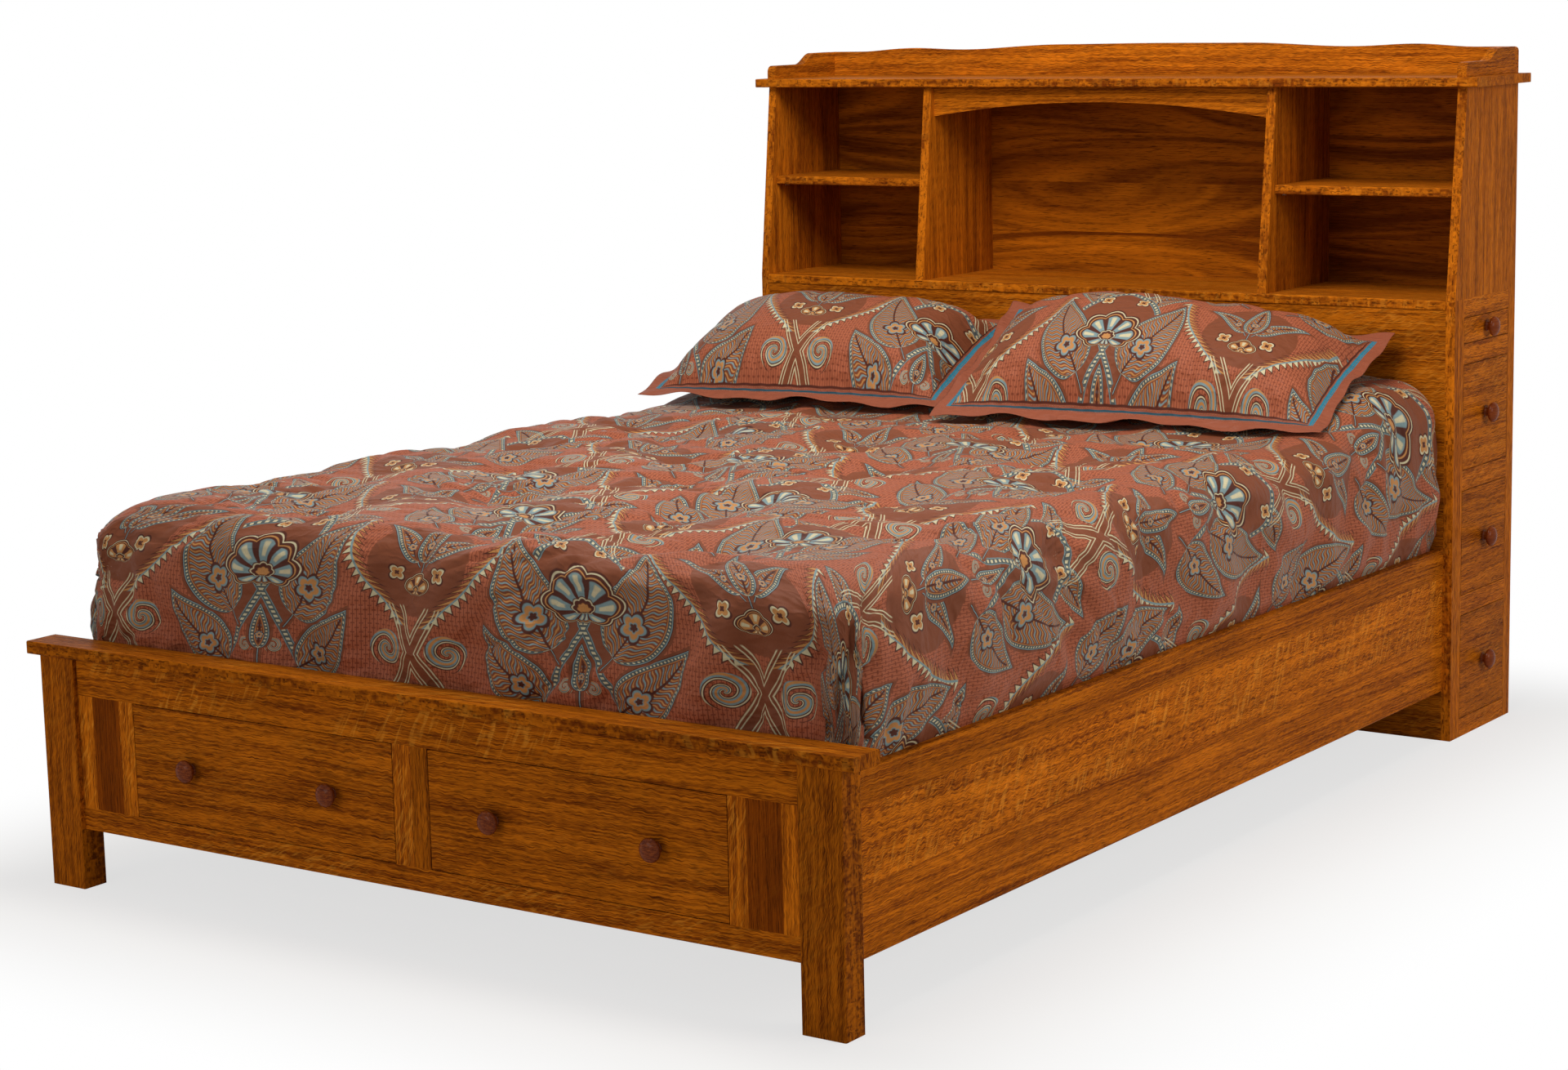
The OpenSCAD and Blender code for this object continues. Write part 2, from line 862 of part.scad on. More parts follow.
// The valance's lower edge is an arch, highest in the middle
module valance() {
    half = bay_w / 2;
    steps = 4 * CURVE_STEPS;
    arch = [
        for (k = [0 : steps])
            let (u = 1 - 2 * k / steps)
            [half * u, top_z - valance_h + arch_rise * (1 - u * u)]
    ];
    y0 = head_y + slope_back + valance_back;
    color(OAK)
        along_y(y0, y0 + board_t, concat([[-half, top_z], [half, top_z]], arch));
}

module shelf(side) {
    color(OAK)
        scale([side, 1, 1])
        board_x(
            [divider_x + shelf_clear, shelf_y, shelf_z],
            [rail_out_x - shelf_clear, shelf_rear_y, shelf_z + shelf_t]
        );
}

module shelf_pins() {
    color(STEEL)
        both_sides()
        for (x = [divider_x - pin_in, rail_out_x - pin_out])
            for (y = [shelf_y + pin_edge, shelf_rear_y - pin_edge])
                translate([x, y, shelf_z - pin_d / 2])
                rotate([0, 90, 0])
                cylinder(h = pin_in + pin_out, d = pin_d);
}

module top_board() {
    half = head_out_x + top_side;
    color(OAK)
        board_x([-half, top_y, top_z], [half, rear_y, gallery_z]);
}

// Gallery

// The wave of the back board: places across it as shares of its half width, with heights
wave = [
    [0, gallery_mid_h],
    [0.27, gallery_mid_h - 1],
    [0.57, gallery_dip_h],
    [0.73, gallery_crest_h],
    [0.9, gallery_end_h]
];
function wave_h(u) =
    u >= wave[4][0] ? wave[4][1] :
    let (i = u < wave[1][0] ? 0 : u < wave[2][0] ? 1 : u < wave[3][0] ? 2 : 3)
    mix(wave[i][1], wave[i + 1][1], smooth((u - wave[i][0]) / (wave[i + 1][0] - wave[i][0])));

module gallery_back() {
    steps = 6 * CURVE_STEPS;
    reach = head_out_x - gallery_r;
    crown = [for (k = [-steps : steps]) [reach * k / steps, wave_h(abs(k) / steps * reach / head_out_x)]];
    corner = [
        for (k = [1 : EASE_STEPS])
            let (a = 90 * k / EASE_STEPS)
            [reach + gallery_r * sin(a), gallery_end_h - gallery_r * (1 - cos(a))]
    ];
    left_corner = [for (k = [EASE_STEPS - 1 : -1 : 0]) [-corner[k][0], corner[k][1]]];
    color(OAK)
        translate([0, 0, gallery_z])
        along_y(
            rear_y - board_t,
            rear_y,
            concat([[-head_out_x, 0]], left_corner, crown, corner, [[head_out_x, 0]])
        );
}

// A return: rounded nose, low front, S-curve up to the height of the back board
module gallery_return() {
    y0 = top_y + return_back;
    y1 = rear_y - board_t;
    rise_end = y1 - scroll_back;
    nose = [
        for (k = [0 : CURVE_STEPS])
            let (a = 90 * k / CURVE_STEPS)
            [y0 + nose_r * (1 - cos(a)), return_low_h - nose_r * (1 - sin(a))]
    ];
    scroll = [
        for (k = [0 : 2 * CURVE_STEPS])
            let (u = k / (2 * CURVE_STEPS))
            [rise_end - scroll_l * (1 - u), mix(return_low_h, gallery_end_h, smooth(u))]
    ];
    color(OAK)
        translate([0, 0, gallery_z])
        along_x(rail_out_x, head_out_x, concat([[y0, 0]], nose, scroll, [[y1, gallery_end_h], [y1, 0]]));
}

module gallery_return_left() {
    mirror([1, 0, 0])
        gallery_return();
}

module gallery_return_right() {
    gallery_return();
}

// Bedding

mattress_w = inner_w - 2 * mattress_side;
mattress_y = leg_back_y + mattress_foot;
mattress_end_y = head_y - mattress_head;
mattress_l = mattress_end_y - mattress_y;

module mattress() {
    plan = [
        for (c = [[1, 1, 0], [-1, 1, 90], [-1, -1, 180], [1, -1, 270]])
            for (k = [0 : TURN_STEPS])
                let (a = c[2] + 90 * k / TURN_STEPS)
                [c[0] * (mattress_w / 2 - mattress_r) + mattress_r * cos(a),
                    c[1] * (mattress_l / 2 - mattress_r) + mattress_r * sin(a)]
    ];
    color(TICKING)
        translate([0, mattress_y + mattress_l / 2, slat_top_z])
        linear_extrude(mattress_h)
        polygon(plan);
}

// Points round a rectangle with corners of radius r at the foot and q at the head, the same
// number at any size. Along the sides they stand at the same places wherever the comforter rises.
LONG_STEPS = 18;
RISE_STEPS = 6;
SHORT_STEPS = 12;
TURN_STEPS = 4;
function corner_run(x, y, r, start) = [
    for (k = [1 : TURN_STEPS - 1])
        let (a = start + 90 * k / TURN_STEPS)
        [x + r * cos(a), y + r * sin(a)]
];
function long_y(k, y0, y1) =
    let (j = k - (LONG_STEPS - RISE_STEPS - 1))
    j < 0 ? mix(y0, rise_y, k / (k - j)) : j > RISE_STEPS ? y1 : rise_y + j * rise_l / RISE_STEPS;
function round_loop(hx, ya, yb, r, q) = concat(
    [for (k = [0 : LONG_STEPS]) [hx, long_y(k, ya + r, yb - q)]],
    corner_run(hx - q, yb - q, q, 0),
    [for (k = [0 : SHORT_STEPS]) [mix(hx - q, q - hx, k / SHORT_STEPS), yb]],
    corner_run(q - hx, yb - q, q, 90),
    [for (k = [LONG_STEPS : -1 : 0]) [-hx, long_y(k, ya + r, yb - q)]],
    corner_run(r - hx, ya + r, r, 180),
    [for (k = [0 : SHORT_STEPS]) [mix(r - hx, hx - r, k / SHORT_STEPS), ya]],
    corner_run(hx - r, ya + r, r, 270)
);
LOOP = 2 * (LONG_STEPS + 1) + 2 * (SHORT_STEPS + 1) + 4 * (TURN_STEPS - 1);

// The comforter's section, from its tucked hem up and in over the top. Each row has the share
// of the height from hem to top, the inset, the swell, and the corner radii at foot and head.
comforter_hem_z = slat_top_z + 4;
comforter_top_z = mattress_top_z + comforter_t;
comforter_rows = [
    [0.00, 0, 0, 40, 20], [0.068, 0, 0, 40, 20], [0.13, 0, 0.6, 40, 20], [0.26, 0, 1, 42, 22],
    [0.43, 0, 1, 45, 25], [0.64, 0, 0.8, 50, 28], [0.80, 0, 0.4, 60, 32], [0.91, 15, 0.1, 70, 45],
    [0.97, 42, 0, 80, 55], [1, 90, 0, 90, 60]
];
comforter_y = leg_back_y + cap_back + comforter_foot;
rise_y = head_y - rise_back - rise_l;
function rise_at(y) =
    let (k = clamp((y - rise_y) / rise_l, 0, 1) * RISE_STEPS, i = floor(k))
    comforter_rise * mix(smooth(i / RISE_STEPS), smooth((i + 1) / RISE_STEPS), k - i);
function folds(s) = fold_d * (sin(360 * s / 460) + 0.6 * sin(360 * s / 205 + 50)) / 1.6;

// Moves a point of a row's loop out by the swell and folds, and lifts it by the rise
function comforter_point(p, row, hx) =
    let (
        side = smooth((abs(p.x) - (hx - 60)) / 60),
        front = smooth((comforter_y + row[1] + 60 - p.y) / 60),
        away = row[2] * side,
        out_x = away * (comforter_bulge + folds(p.y)),
        out_y = row[2] * front * (4 + folds(p.x) / 3)
    )
    [
        p.x + sign(p.x) * out_x,
        p.y - out_y,
        mix(comforter_hem_z, comforter_top_z, row[0]) + rise_at(p.y) * clamp((row[0] - 0.6) / 0.4, 0, 1)
    ];

function comforter_loop(row) =
    let (
        hx = rail_in_x - comforter_gap - row[1],
        end_y = head_y - 2 * comforter_gap - max(0, row[1] - 62) / 8,
        loop = round_loop(hx, comforter_y + row[1], end_y, row[3], row[4])
    )
    [for (p = loop) comforter_point(p, row, hx)];

// The top is a grid inside its edge loop, with its corners in the middle of the loop's corners.
// Tufts draw it down in staggered rows, from the foot to where the shams begin.
WIDE = SHORT_STEPS + TURN_STEPS;
LONG = LONG_STEPS + TURN_STEPS;
edge_row = comforter_rows[len(comforter_rows) - 1];
edge_loop = comforter_loop(edge_row);
function edge_number(i) = (i + LOOP - TURN_STEPS / 2) % LOOP;
function edge_xy(i) = let (p = edge_loop[edge_number(i)]) [p.x, p.y];
function head_xy(i) = edge_xy(LONG + WIDE - i);
function left_xy(j) = edge_xy(2 * LONG + WIDE - j);
function foot_xy(i) = edge_xy(2 * LONG + WIDE + i);

quilt_y = comforter_y + edge_row[1] + edge_row[3];
quilt_l = 4 * (rise_y - quilt_y) / (LONG_STEPS - RISE_STEPS - 1);
quilt_w = 8 * (rail_in_x - comforter_gap - edge_row[1] - edge_row[3]) / SHORT_STEPS;
quilt_end_y = quilt_y + 2.2 * quilt_l;
function tuft(k) = pow(cos(180 * k), 4);
function quilting(x, y) =
    let (u = x / quilt_w, v = (y - quilt_y) / quilt_l)
    y > quilt_end_y ? 0 : quilt_d * max(tuft(u) * tuft(v), tuft(u + 0.5) * tuft(v + 0.5));

function top_point(i, j) =
    let (
        u = i / WIDE,
        v = j / LONG,
        p = mix(left_xy(j), edge_xy(j), u) + mix(foot_xy(i), head_xy(i), v)
            - mix(mix(foot_xy(0), foot_xy(WIDE), u), mix(head_xy(0), head_xy(WIDE), u), v)
    )
    [p.x, p.y, comforter_top_z + rise_at(p.y) - quilting(p.x, p.y)];

// Number of a point of the grid, counted from the edge loop's first
function top_number(i, j) =
    i == WIDE ? edge_number(j) :
    i == 0 ? edge_number(2 * LONG + WIDE - j) :
    j == LONG ? edge_number(LONG + WIDE - i) :
    j == 0 ? edge_number(2 * LONG + WIDE + i) :
    LOOP + (i - 1) * (LONG - 1) + j - 1;

function cavity_loop(z) =
    let (f = comforter_fit)
    [for (p = round_loop(mattress_w / 2 + f, mattress_y - f, mattress_end_y + f, mattress_r, mattress_r))
        [p.x, p.y, z]];

// Triangles between two loops whose first points have the given numbers
function band(a, b) = [
    for (i = [0 : LOOP - 1])
        let (j = (i + 1) % LOOP)
        for (t = [[a + i, b + i, b + j], [a + i, b + j, a + j]])
            t
];

// Triangles that close a loop: across from side to side, then a fan over each end
far_left = LONG_STEPS + SHORT_STEPS + 2 * TURN_STEPS;
lid = concat(
    [for (k = [0 : LONG_STEPS - 1])
        let (a = far_left + LONG_STEPS - k)
        for (t = [[k, k + 1, a - 1], [k, a - 1, a]])
            t],
    [for (i = [LONG_STEPS + 1 : far_left - 1]) [LONG_STEPS, i, i + 1]],
    [for (i = [far_left + LONG_STEPS : LOOP - 2]) [0, i, i + 1]]
);

module comforter() {
    rows = len(comforter_rows);
    edge = (rows - 1) * LOOP;
    shell = [for (row = comforter_rows) for (p = comforter_loop(row)) p];
    top = [for (i = [1 : WIDE - 1]) for (j = [1 : LONG - 1]) top_point(i, j)];
    hem = len(shell) + len(top);
    roof = hem + LOOP;
    points = concat(shell, top, cavity_loop(comforter_hem_z), cavity_loop(mattress_top_z + comforter_fit));
    faces = concat(
        [for (r = [0 : rows - 2]) for (t = band(r * LOOP, (r + 1) * LOOP)) t],
        [
            for (i = [0 : WIDE - 1])
                for (j = [0 : LONG - 1])
                    let (
                        a = edge + top_number(i, j),
                        b = edge + top_number(i + 1, j),
                        c = edge + top_number(i + 1, j + 1),
                        d = edge + top_number(i, j + 1)
                    )
                    for (t = (i + j) % 2 == 0 ? [[a, d, c], [a, c, b]] : [[a, d, b], [b, d, c]])
                        t
        ],
        band(hem, 0),
        band(roof, hem),
        [for (t = lid) [for (i = t) roof + i]]
    );
    color(CLOTH)
        polyhedron(points, faces);
}

// A pillow sham: a crowned cushion in the middle of a thin flange, with drawn-in sides
SHAM_U = 22;
SHAM_V = 14;
function fullness(k) = pow(max(0, 1 - pow(abs(k), 3)), 0.6);
function sham_point(w, twist, u, v, face) =
    let (
        draw_u = 1 - 0.035 * (1 - v * v) * u * u,
        draw_v = 1 - 0.05 * (1 - u * u) * v * v,
        fu = u / (1 - 2 * flange_w / w),
        fv = v / (1 - 2 * flange_w / sham_h),
        rim = abs(u) == 1 || abs(v) == 1,
        swell = fullness(fu) * fullness(fv),
        height = face > 0 ? sham_crown : sham_crown * 0.2
    )
    [
        u * draw_u * w / 2,
        v * draw_v * sham_h / 2,
        (rim ? 0 : face * (2 + height * swell)) + twist * (1 + v) * (1 - u) / 4
    ];

// A sham of width w, whose top left corner is lifted by twist
module sham(w, twist) {
    row = SHAM_U + 1;
    sheet = row * (SHAM_V + 1);
    points = [
        for (face = [1, -1])
            for (j = [0 : SHAM_V])
                for (i = [0 : SHAM_U])
                    sham_point(w, twist, 2 * i / SHAM_U - 1, 2 * j / SHAM_V - 1, face)
    ];
    function up(i, j) = j * row + i;
    // The lower sheet takes the rim's points from the upper one, so that the cushion is closed
    function low(i, j) = (i == 0 || j == 0 || i == SHAM_U || j == SHAM_V ? 0 : sheet) + up(i, j);
    // Each cell is split so that the cut runs towards the nearest corner
    function cell(a, b, c, d, flip) = flip ? [[a, b, d], [b, c, d]] : [[a, b, c], [a, c, d]];
    faces = [
        for (j = [0 : SHAM_V - 1])
            for (i = [0 : SHAM_U - 1])
                let (flip = (i < SHAM_U / 2) != (j < SHAM_V / 2))
                for (t = concat(
                    cell(up(i, j), up(i, j + 1), up(i + 1, j + 1), up(i + 1, j), flip),
                    cell(low(i, j), low(i + 1, j), low(i + 1, j + 1), low(i, j + 1), flip)
                ))
                    t
    ];
    color(CLOTH)
        polyhedron(points, faces);
}

// Height of the comforter over one point of a sham's underside
function sham_under_at(w, twist, turn, back, u, v) =
    let (
        p = sham_point(w, twist, u, v, -1),
        y = p.y * cos(sham_lean) - p.z * sin(sham_lean),
        z = p.y * sin(sham_lean) + p.z * cos(sham_lean)
    )
    rise_at(head_y - back + p.x * sin(turn) + y * cos(turn)) - z;

// A sham laid on the comforter, with its middle at x and at a distance from the headboard
module lay_sham(w, twist, turn, x, back) {
    seat = max([
        for (j = [0 : SHAM_V])
            for (i = [0 : SHAM_U])
                sham_under_at(w, twist, turn, back, 2 * i / SHAM_U - 1, 2 * j / SHAM_V - 1)
    ]);
    translate([x, head_y - back, comforter_top_z + seat + sham_under])
        rotate([sham_lean, 0, turn])
        sham(w, twist);
}

module sham_left() {
    x = -sham_meet - sham_apart - sham_left_w / 2;
    lay_sham(sham_left_w, -sham_droop, sham_left_turn, x, sham_left_back);
}

module sham_right() {
    lay_sham(sham_w, sham_twist, sham_right_turn, sham_w / 2 - sham_meet, sham_right_back);
}

foot_leg_left();
foot_leg_right();
foot_cap();
foot_top_rail();
foot_bottom_rail();
foot_stiles();
foot_infill_boards();
foot_drawer_case();
for (s = SIDES) {
    foot_drawer_front(s[1]);
    foot_drawer_box(s[1]);
    foot_drawer_knobs(s[1]);
    // Side drawers are numbered from the top down
    for (i = [1 : deep_count + 1]) {
        above = deep_count + 1 - i;
        side_drawer_front(s[1], above);
        side_drawer_box(s[1], above);
    }
}
side_rail_left();
side_rail_right();
slat_cleats();
slats();
centre_beam();
rail_brackets();
head_side_frame(-1);  // head_side_frame_left
head_side_frame(1);  // head_side_frame_right
head_front_panel();
head_back_panel();
head_partitions();
head_runners();
deck();
bookcase_side_left();
bookcase_side_right();
divider_left();
divider_right();
bookcase_back();
valance();
shelf(-1);  // shelf_left
shelf(1);  // shelf_right
shelf_pins();
top_board();
gallery_back();
gallery_return_left();
gallery_return_right();
mattress();
comforter();
sham_left();
sham_right();
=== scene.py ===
"""A bookcase bed of stained quarter-sawn oak, with four small drawers in each end of the headboard,
two foot drawers, a scrolled gallery, and a tucked-in comforter with two pillow shams.

The wooden parts keep the meshes of their frame and are dressed here. The bedding is built here.
"""

import logging
import math
from dataclasses import dataclass
from enum import Enum
from typing import Callable, Optional, Union

import bmesh
import bpy
import numpy as np
from mathutils import Matrix, Vector, noise
from mathutils.bvhtree import BVHTree


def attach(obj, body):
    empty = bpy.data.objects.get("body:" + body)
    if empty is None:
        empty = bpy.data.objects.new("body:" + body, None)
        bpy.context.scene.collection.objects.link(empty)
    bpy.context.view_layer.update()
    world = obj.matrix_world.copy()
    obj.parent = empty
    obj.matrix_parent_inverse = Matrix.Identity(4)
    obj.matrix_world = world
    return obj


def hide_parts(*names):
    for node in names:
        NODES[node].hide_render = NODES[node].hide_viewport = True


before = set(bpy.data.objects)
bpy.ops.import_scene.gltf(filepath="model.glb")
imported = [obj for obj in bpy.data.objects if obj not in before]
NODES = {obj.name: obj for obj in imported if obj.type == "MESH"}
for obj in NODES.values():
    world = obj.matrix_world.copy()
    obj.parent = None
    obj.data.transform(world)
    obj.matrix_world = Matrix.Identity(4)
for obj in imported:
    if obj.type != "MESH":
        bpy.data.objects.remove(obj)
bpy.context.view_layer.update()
log = logging.getLogger("bed")

Number = Union[float, int, "Wire"]
Colour = tuple[float, float, float, float]
Pair = tuple[float, float]
Triple = tuple[float, float, float]

WHITE: Colour = (1.0, 1.0, 1.0, 1.0)


def paint(code: str) -> Colour:
    """Turn a colour as it is written into the linear one that a shader takes.

    Args:
        code: The colour as "#RRGGBB".

    Returns:
        Red, green, blue and an alpha of 1.
    """
    parts = [int(code[i : i + 2], 16) / 255 for i in (1, 3, 5)]
    linear = [p / 12.92 if p <= 0.04045 else ((p + 0.055) / 1.055) ** 2.4 for p in parts]
    return (linear[0], linear[1], linear[2], 1.0)


def add_node(
    tree: bpy.types.NodeTree, kind: str, settings: dict, values: dict, out: Union[int, str] = 0
) -> bpy.types.NodeSocket:
    """Add a node to a tree.

    Args:
        tree: The tree.
        kind: The node's type.
        settings: Its own settings, which are made first.
        values: Values or sockets by the name or number of the input.
        out: The output to go on with.

    Returns:
        That output.
    """
    node = tree.nodes.new(kind)
    for key, value in settings.items():
        setattr(node, key, value)
    for key, value in values.items():
        if isinstance(value, bpy.types.NodeSocket):
            tree.links.new(value, node.inputs[key])
        else:
            node.inputs[key].default_value = value
    return node.outputs[out]


# Shader bench


class Wire:
    """A value on its way between shader nodes. Python's operators add Math nodes."""

    def __init__(self, bench: "Bench", socket: bpy.types.NodeSocket) -> None:
        """Keep the bench that the nodes are added to, and the socket that the value leaves by."""
        self.bench = bench
        self.socket = socket

    def math(self, operation: str, *others: Number) -> "Wire":
        """Add a Math node on this value and others."""
        return self.bench.math(operation, self, *others)

    def also(self, name: str) -> "Wire":
        """Return another output of the node that this value comes from."""
        return Wire(self.bench, self.socket.node.outputs[name])

    def __add__(self, other: Number) -> "Wire":
        """Add a number or wire."""
        return self.math("ADD", other)

    __radd__ = __add__

    def __mul__(self, other: Number) -> "Wire":
        """Multiply by a number or wire."""
        return self.math("MULTIPLY", other)

    __rmul__ = __mul__

    def __sub__(self, other: Number) -> "Wire":
        """Take a number or wire away."""
        return self.math("SUBTRACT", other)

    def __rsub__(self, other: float) -> "Wire":
        """Take this wire away from a number."""
        return self.bench.math("SUBTRACT", other, self)

    def __truediv__(self, other: Number) -> "Wire":
        """Divide by a number or wire."""
        return self.math("DIVIDE", other)

    def __pow__(self, other: Number) -> "Wire":
        """Raise to a power."""
        return self.math("POWER", other)

    def __abs__(self) -> "Wire":
        """Drop the sign."""
        return self.math("ABSOLUTE")

    def sin(self) -> "Wire":
        """Return the sine."""
        return self.math("SINE")

    def cos(self) -> "Wire":
        """Return the cosine."""
        return self.math("COSINE")

    def floor(self) -> "Wire":
        """Round down."""
        return self.math("FLOOR")

    def fraction(self) -> "Wire":
        """Return what is left above the next lower whole number."""
        return self.math("FRACT")

    def above(self, edge: Number) -> "Wire":
        """Return 1 above the edge and 0 below it."""
        return self.math("GREATER_THAN", edge)

    def below(self, edge: Number) -> "Wire":
        """Return 1 below the edge and 0 above it."""
        return self.math("LESS_THAN", edge)

    def angle_to(self, other: "Wire") -> "Wire":
        """Return the angle whose sine side is this wire and whose cosine side is the other."""
        return self.math("ARCTAN2", other)

    def most(self, other: Number) -> "Wire":
        """Return the larger of the two."""
        return self.math("MAXIMUM", other)

    def wrapped(self, pitch: float) -> "Wire":
        """Return the signed distance to the nearest multiple of the pitch."""
        return self.math("WRAP", pitch / 2, -pitch / 2)

    def length_with(self, other: "Wire") -> "Wire":
        """Return the length of the right-angled pair."""
        return (self * self + other * other).math("SQRT")

    def rise(self, start: float, end: float, low: float = 0.0, high: float = 1.0) -> "Wire":
        """Go smoothly from low at start to high at end, and keep those values outside.

        Args:
            start: The value at which the change begins.
            end: The value at which it is done, above or below start.
            low: The result up to start.
            high: The result from end on.

        Returns:
            The smoothed value.
        """
        if end < start:
            start, end, low, high = end, start, high, low
        settings = {"interpolation_type": "SMOOTHSTEP", "clamp": False}
        return self.bench.add("ShaderNodeMapRange", settings, {0: self, 1: start, 2: end, 3: low, 4: high})

    def band(self, start: float, end: float, soft: float) -> "Wire":
        """Return 1 between start and end with soft edges, and 0 outside."""
        return self.rise(start - soft, start + soft) * self.rise(end + soft, end - soft)


class Bench:
    """Lays out the nodes of one material, or of the surroundings."""

    def __init__(self, holder: Union[str, bpy.types.World]) -> None:
        """Start with no nodes, in a new material of this name or in the surroundings."""
        self.for_world = not isinstance(holder, str)
        self.material = holder if self.for_world else bpy.data.materials.new(holder)
        self.material.use_nodes = True
        self.tree = self.material.node_tree
        self.tree.nodes.clear()

    def add(
        self,
        kind: str,
        settings: Optional[dict] = None,
        values: Optional[dict] = None,
        out: Union[int, str] = 0,
    ) -> Wire:
        """Add a node as add_node does, with wires for sockets, and return the wire that leaves by out."""
        sockets = {key: value.socket if isinstance(value, Wire) else value for key, value in (values or {}).items()}
        return Wire(self, add_node(self.tree, kind, settings or {}, sockets, out))

    def math(self, operation: str, *values: Number) -> Wire:
        """Add a Math node."""
        return self.add("ShaderNodeMath", {"operation": operation}, dict(enumerate(values)))

    def place(self) -> Wire:
        """Return the place on the object."""
        return self.add("ShaderNodeTexCoord", out="Object")

    def across(self, vector: Wire) -> Wire:
        """Split a vector, and return its X with Y and Z as the node's other outputs."""
        return self.add("ShaderNodeSeparateXYZ", {}, {0: vector})

    def vector(self, x: Number, y: Number, z: Number = 0.0) -> Wire:
        """Join three numbers into a vector."""
        return self.add("ShaderNodeCombineXYZ", {}, {0: x, 1: y, 2: z})

    def turned(self, vector: Wire, angle: float) -> Wire:
        """Turn a vector about Z by an angle in degrees."""
        values = {"Vector": vector, "Angle": math.radians(angle)}
        return self.add("ShaderNodeVectorRotate", {"rotation_type": "Z_AXIS"}, values)

    def cloud(
        self, vector: Wire, scale: Optional[Triple] = None, detail: float = 2.0, rough: float = 0.5, warp: float = 0.0
    ) -> Wire:
        """Return smooth noise from 0 to 1 over a vector.

        Args:
            vector: Where the noise is read.
            scale: Noise cells in each metre on each axis, or one cell in each unit of the vector.
            detail: How many finer layers it has.
            rough: How strong they are.
            warp: How far it is distorted.

        Returns:
            The noise value.
        """
        if scale:
            vector = self.add("ShaderNodeVectorMath", {"operation": "MULTIPLY"}, {0: vector, 1: scale})
        values = {"Vector": vector, "Scale": 1.0, "Detail": detail, "Roughness": rough, "Distortion": warp}
        return self.add("ShaderNodeTexNoise", {}, values)

    def mixed(self, share: Number, first: Union[Wire, Colour], second: Union[Wire, Colour]) -> Wire:
        """Mix a share of the second colour into the first."""
        settings = {"data_type": "RGBA", "blend_type": "MIX"}
        return self.add("ShaderNodeMix", settings, {0: share, 6: first, 7: second}, out=2)

    def dimmed(self, colour: Union[Wire, Triple], by: Number) -> Wire:
        """Multiply a colour by a number."""
        return self.add("ShaderNodeVectorMath", {"operation": "SCALE"}, {0: colour, 3: by})

    def bump(self, height: Wire, depth: float) -> Wire:
        """Turn a height from 0 to 1 into a bent normal, for a relief of a depth in metres."""
        return self.add("ShaderNodeBump", {}, {"Height": height, "Distance": depth, "Strength": 1.0})

    def coat(self, **sockets: object) -> bpy.types.Material:
        """Close the material with one surface shader.

        Args:
            sockets: Its inputs, with underscores for spaces.

        Returns:
            The finished material.
        """
        values = {key.replace("_", " "): value for key, value in sockets.items()}
        self.add_end(self.add("ShaderNodeBsdfPrincipled", {}, values))
        return self.material

    def add_end(self, surface: Wire) -> None:
        """Send a surface to the tree's output."""
        end = self.tree.nodes.new("ShaderNodeOutputWorld" if self.for_world else "ShaderNodeOutputMaterial")
        self.tree.links.new(surface.socket, end.inputs["Surface"])


class Layers:
    """A colour that is laid up layer over layer.

    Attributes:
        bench: The material's bench.
        colour: The colour so far.
    """

    def __init__(self, bench: Bench, share: Number, first: str, second: str) -> None:
        """Start with a share of the second colour in the first."""
        self.bench = bench
        self.colour = bench.mixed(share, paint(first), paint(second))

    def lay(self, share: Number, code: str) -> None:
        """Let a share of a new colour cover what is there."""
        self.colour = self.bench.mixed(share, self.colour, paint(code))


# Finishes


class Axis(Enum):
    """An axis of the bed: X across it, Y from foot to head, Z up."""

    X = 0
    Y = 1
    Z = 2


@dataclass(frozen=True)
class Board:
    """One board of a glued-up panel: where it starts, how light it is and how much fleck it shows."""

    start: float
    tone: float
    fleck: float
    ripple: float = 0.5


